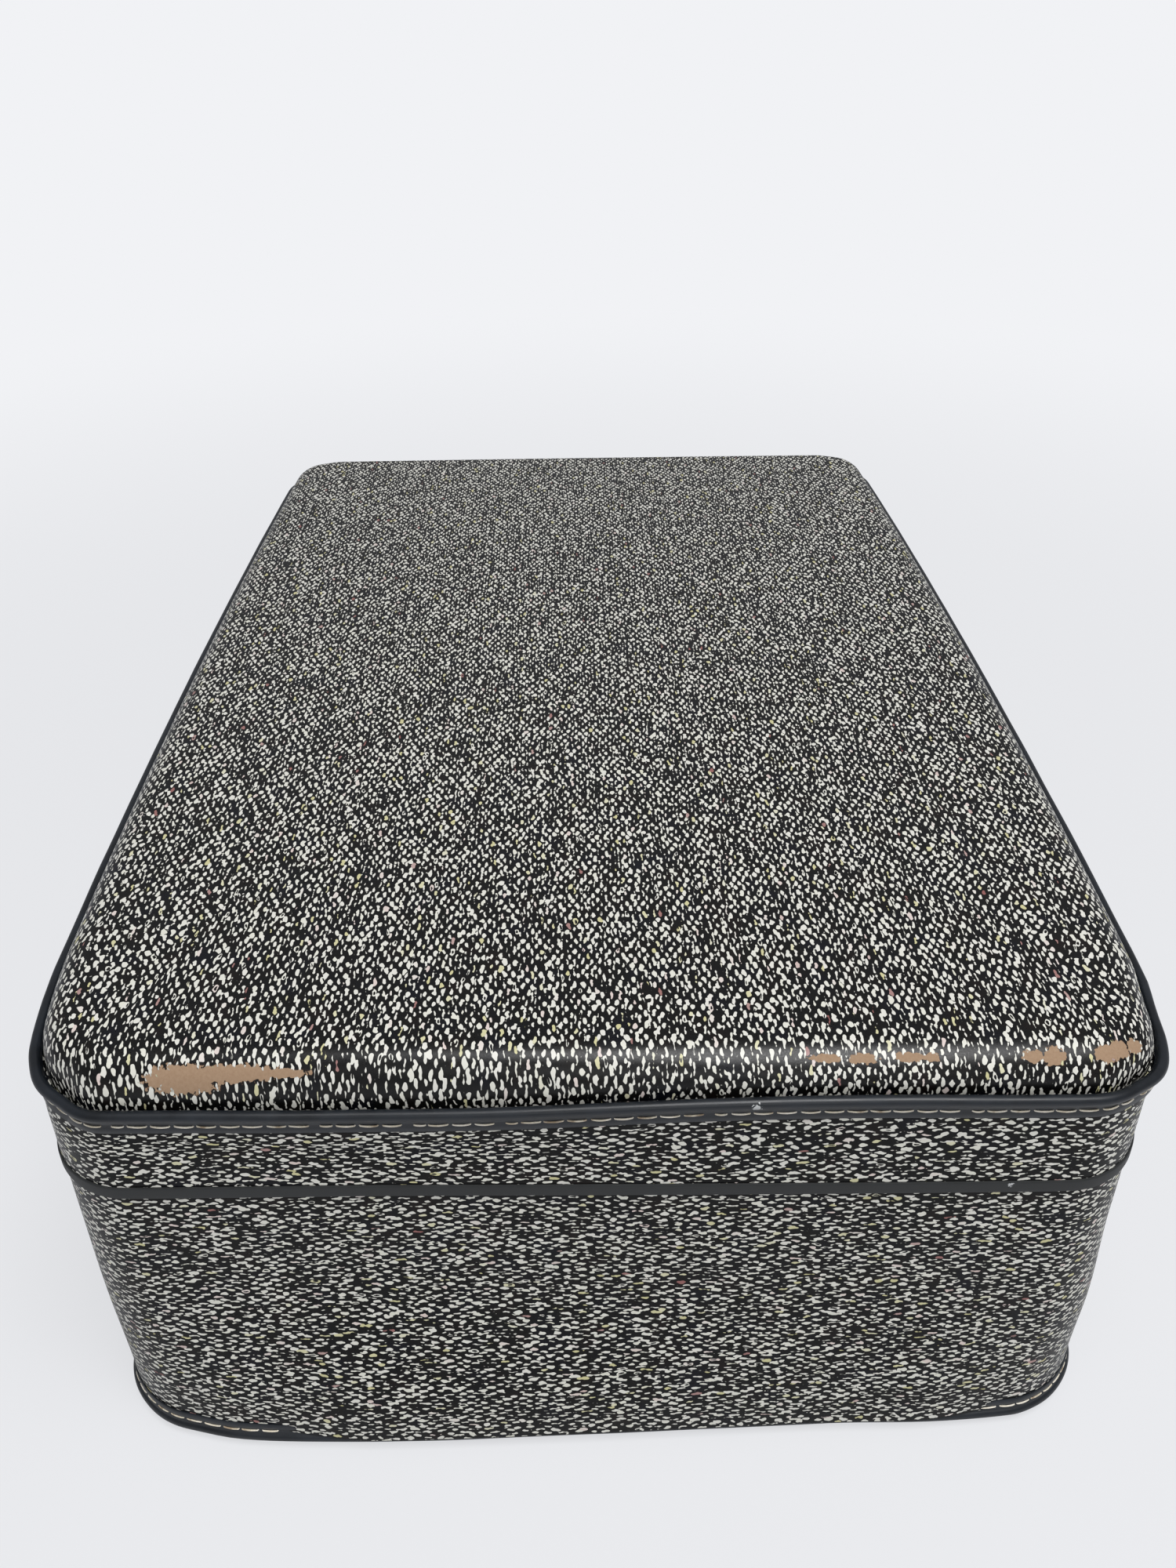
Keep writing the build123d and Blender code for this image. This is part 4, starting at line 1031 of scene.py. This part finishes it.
grip_low, grip_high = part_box("handle_grip")
grip_r = (grip_high.y - grip_low.y) / 2
grip_y = (grip_high.y + grip_low.y) / 2
bend_r = 20.0 * MM
end_x = grip_high.x - grip_r
low_z = grip_low.z + grip_r
swell, slim = 0.9 * MM, 0.6 * MM
grip_steps = 12
shank = grip_high.z - low_z - bend_r
path = [Vector((-end_x, grip_y, grip_high.z - shank * i / 4)) for i in range(4)]
for i in range(grip_steps + 1):
    a = math.pi / 2 * i / grip_steps
    path.append(Vector((bend_r * (1 - math.cos(a)) - end_x, grip_y, low_z + bend_r * (1 - math.sin(a)))))
level = end_x - bend_r
path += [Vector((level * (i / grip_steps - 1), grip_y, low_z)) for i in range(1, grip_steps + 1)]
path += [Vector((-p.x, p.y, p.z)) for p in path[-2::-1]]


def moulded_bar(path, sides=28, power=2.6):
    """Rounded-square bar along a path in the XZ plane, swollen towards its middle."""
    points = []
    reach = max(abs(p.x) for p in path)
    for i, here in enumerate(path):
        over = Vector((0, 1, 0)).cross(direction(path, i))
        size = grip_r - slim + swell * (1 - (here.x / reach) ** 2)
        for k in range(sides):
            a = math.tau * k / sides
            c, s = math.cos(a), math.sin(a)
            r = size / (abs(c) ** power + abs(s) ** power) ** (1 / power)
            points.append(here + Vector((0, c * r, 0)) + over * s * r)
    return points, skin(len(path), sides)


plastic = moulded_plastic("moulded_black_plastic")
grip = make_piece("grip", *moulded_bar(path), [plastic], angle=60)
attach(grip, "handle")
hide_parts("handle_grip")
finish_node("handle_core", steel)
finish_node("handle_eyes", nickel, 0.3 * MM)
finish_node("handle_ferrules", nickel, 0.4 * MM)
finish_node("handle_brackets", nickel, 0.3 * MM)
finish_node("handle_pins", steel, 0.2 * MM)
domed_heads("handle_rivet_heads", "handle_rivets", "case", -1)


# Feet: four pressed steel studs behind, on which the case stands when it is set down. Each has a
# flat rim and a rounded dome.
foot_r = 9.0 * MM
foot_h = 10.0 * MM
foot_rim = 3.0 * MM
foot_dome_r = foot_r - 2.2 * MM
foot_dome_z = foot_rim + 0.8 * MM
foot_tip = 0.2 * MM
profile = [
    (foot_r, 0),
    (foot_r, foot_rim * 0.6),
    (foot_r - 0.5 * MM, foot_rim),
    (foot_r - 1.6 * MM, foot_rim + 0.6 * MM),
]
for i in range(9):
    a = math.pi / 2 * i / 8
    height = foot_dome_z + (foot_h - foot_dome_z) * math.sin(a)
    profile.append((foot_tip + foot_dome_r * math.cos(a) ** 0.8, height))
points, faces = [], []
for middle, size in islands("case_feet"):
    base = Vector((middle.x, middle.y - size.y / 2, middle.z))
    take_in(points, faces, turned(profile, base, Vector((0, 1, 0)), 32))
feet = make_piece("feet", points, faces, [nickel], angle=45)
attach(feet, "case")
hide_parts("case_feet")


# Packing straps: woven cotton webbing across the floor of the case, each with a pressed buckle in
# the middle and a plate at each end.
def webbing(name):
    """Grey cotton webbing: matt and a little furry, with diagonal ribs 3 mm apart."""
    finish, tree = new_finish(name, 0.85, {"Sheen Weight": 0.25})
    place = add(tree, "ShaderNodeTexCoord").outputs["Object"]
    ribs = {"Vector": place, "Scale": 150.0, "Distortion": 0.6}
    rib = add(tree, "ShaderNodeTexWave", ribs, bands_direction="DIAGONAL")
    grey = add(tree, "ShaderNodeValToRGB", {0: rib}, ((0.2, "#55585a"), (0.8, "#8b8e8e")))
    return dressed(finish, rib, 0.6, 0.3 * MM, grey)


strap_t = 1.2 * MM
strap_bend = 9.0 * MM
strap_side = 0.5 * MM
cotton = webbing("cotton_webbing")
for side in ("left", "right"):
    node = f"packing_strap_{side}"
    low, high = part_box(node)
    centre_r = strap_bend - strap_t / 2
    reach = high.y - strap_t / 2
    floor_z = low.z + strap_t / 2
    half = [(0.0, floor_z), (reach * 0.4, floor_z), (reach - centre_r, floor_z)]
    half += [
        (reach - centre_r + centre_r * math.sin(a), floor_z + centre_r * (1 - math.cos(a)))
        for a in [math.pi / 2 * i / 10 for i in range(1, 11)]
    ]
    half += [(reach, high.z - (high.z - floor_z - centre_r) * (1 - i / 4)) for i in range(1, 5)]
    route = [(-y, z) for y, z in half[:0:-1]] + half
    section = (
        (low.x, 0.35), (low.x, -0.35), (low.x + strap_side, -0.5), (high.x - strap_side, -0.5),
        (high.x, -0.35), (high.x, 0.35), (high.x - strap_side, 0.5), (low.x + strap_side, 0.5),
    )
    points, spots = [], [Vector(spot) for spot in route]
    for i, (y, z) in enumerate(route):
        way = direction(spots, i)
        points += [(x, y - way.y * t * strap_t, z + way.x * t * strap_t) for x, t in section]
    faces = skin(len(route), len(section), turned_over=True)
    strap = make_piece(f"strap_{side}", points, faces, [cotton], angle=50)
    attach(strap, "case")
    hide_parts(node)
finish_node("strap_buckles", nickel, 0.5 * MM)
finish_node("strap_anchors", nickel, 0.2 * MM)


# Lid pocket: thin rayon cloth tacked under the top of the lid on three sides and gathered by an
# elastic hem along its mouth.
def rayon(name):
    """Grey rayon cloth: a fine plain weave, drawn at 0.6 mm so that it shows, with a slight sheen."""
    finish, tree = new_finish(name, 0.6, {"Sheen Weight": 0.4})
    place = add(tree, "ShaderNodeTexCoord").outputs["Object"]
    cloud = add(tree, "ShaderNodeTexNoise", {"Vector": place, "Scale": 30.0, "Detail": 3.0})
    grey = add(tree, "ShaderNodeValToRGB", {0: cloud}, ((0.0, "#8d8f8d"), (1.0, "#a9aaa6")))
    weave = add(tree, "ShaderNodeTexChecker", {"Vector": place, "Scale": 1600.0}).outputs[1]
    return dressed(finish, weave, 0.15, 0.1 * MM, grey)


def folds(x, per_mm, turn=0.0):
    """Height of the gathered cloth at x, between -1 and 1; its folds run closer and wider by turns."""
    return math.sin(x / MM * per_mm + 1.7 * math.sin(x / MM * 0.05) + turn)


cloth = rayon("grey_rayon")
pocket_low, pocket_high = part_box("lid_pocket")
hem_low, hem_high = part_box("pocket_elastic")
across, down = 260, 44
sheet_gap = 0.4 * MM
cloth_t = 0.25 * MM
side_tack, end_tack = 0.05, 0.12
fullness = 1.6 * MM
fold_depth = 0.9 * MM
fold_per_mm = 0.42
least_depth = 0.3 * MM
points, faces = [], []
for j in range(down + 1):
    v = j / down
    y = hem_high.y + (pocket_high.y - hem_high.y) * v
    full = fullness * math.sin(math.pi * min(1.0, 0.15 + v * 0.9))
    gathered = 0.25 + 0.75 * (1 - v) ** 1.5
    for i in range(across + 1):
        u = i / across
        x = pocket_low.x + (pocket_high.x - pocket_low.x) * u
        loose = min(1.0, min(u, 1 - u) / side_tack) * min(1.0, (1 - v) / end_tack)
        fold = fold_depth * folds(x, fold_per_mm, 2.0 * v) + MM
        depth = least_depth + loose * (full + fold * gathered)
        points.append((x, y, pocket_high.z - sheet_gap - depth))
for j in range(down):
    for i in range(across):
        a = j * (across + 1) + i
        faces.append((a, a + across + 1, a + across + 2, a + 1))
pocket = make_piece("pocket_cloth", points, faces, [cloth], angle=180)
thick = pocket.modifiers.new("thickness", "SOLIDIFY")
thick.thickness = cloth_t
thick.offset = 0.0
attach(pocket, "lid")
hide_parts("lid_pocket")
hem_mid = (hem_low + hem_high) / 2
hem_half = (hem_high - hem_low) / 2
hem_drop = 1.6 * MM
hem_sides = 12
points = []
for i in range(across + 1):
    x = hem_low.x + (hem_high.x - hem_low.x) * i / across
    fold = folds(x, 2 * fold_per_mm)
    for k in range(hem_sides):
        a = math.tau * k / hem_sides
        ry = hem_half.y * (0.94 + 0.05 * fold)
        rz = hem_half.z * (0.72 + 0.22 * fold * max(0.0, -math.sin(a)))
        z = hem_high.z - sheet_gap - hem_drop + rz * math.sin(a)
        points.append((x, hem_mid.y + ry * math.cos(a), z))
hem = make_piece("pocket_hem", points, skin(across + 1, hem_sides), [cloth], angle=80)
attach(hem, "lid")
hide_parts("pocket_elastic")


# Stage: a plain pale floor that shows as pale far off as near, a large soft lamp above the near
# end, a weak one behind the camera, and a pale surround.
plain_pale = linear("#f1f2f5")
near, far, near_share = 0.3, 1.6, 0.72
floor_inputs = {"Base Color": linear("#dcdde0"), "Specular IOR Level": 0.1}
floor_finish, tree = new_finish("pale_floor", 0.8, floor_inputs)
place = add(tree, "ShaderNodeTexCoord").outputs["Object"]
away = add(tree, "ShaderNodeVectorMath", {0: place}, operation="LENGTH").outputs["Value"]
fade = {0: away, 1: near, 2: far, 3: near_share}
fading = add(tree, "ShaderNodeMapRange", fade, interpolation_type="SMOOTHSTEP")
seen = add(tree, "ShaderNodeLightPath").outputs["Is Camera Ray"]
paler = add(tree, "ShaderNodeMath", {0: fading, 1: seen}, operation="MULTIPLY")
plain = add(tree, "ShaderNodeEmission", {0: plain_pale, 1: 1.0})
shown = add(tree, "ShaderNodeMixShader", {0: paler, 1: tree.nodes["Principled BSDF"], 2: plain})
tree.links.new(shown.outputs[0], tree.nodes["Material Output"].inputs["Surface"])
bpy.ops.mesh.primitive_plane_add(size=30.0)
floor = bpy.context.object
floor.name = "floor"
floor.data.materials.append(floor_finish)
floor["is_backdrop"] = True
world = bpy.data.worlds.new("surround")
bpy.context.scene.world = world
world.use_nodes = True
tree = world.node_tree
surround = tree.nodes["Background"]
surround.inputs["Color"].default_value = linear("#e3e4e8")
surround.inputs["Strength"].default_value = 0.4
backdrop = add(tree, "ShaderNodeBackground", {0: plain_pale, 1: 1.0})
seen = add(tree, "ShaderNodeLightPath").outputs["Is Camera Ray"]
shown = add(tree, "ShaderNodeMixShader", {0: seen, 1: surround, 2: backdrop})
tree.links.new(shown.outputs[0], tree.nodes["World Output"].inputs["Surface"])
lit = Vector((0.1, 0, 0.1))
for name, size, watts, place in (
    ("overhead_lamp", 1.1, 36.0, (0.85, 0.35, 2.2)),
    ("front_lamp", 0.9, 4.0, (2.3, 0.1, 1.15)),
):
    lamp = bpy.data.objects.new(name, bpy.data.lights.new(name, "AREA"))
    lamp.data.size = size
    lamp.data.energy = watts
    lamp.location = place
    lamp.rotation_euler = (lit - lamp.location).to_track_quat("-Z", "Y").to_euler()
    bpy.context.scene.collection.objects.link(lamp)
bpy.context.scene.view_settings.view_transform = "Standard"

low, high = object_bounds()
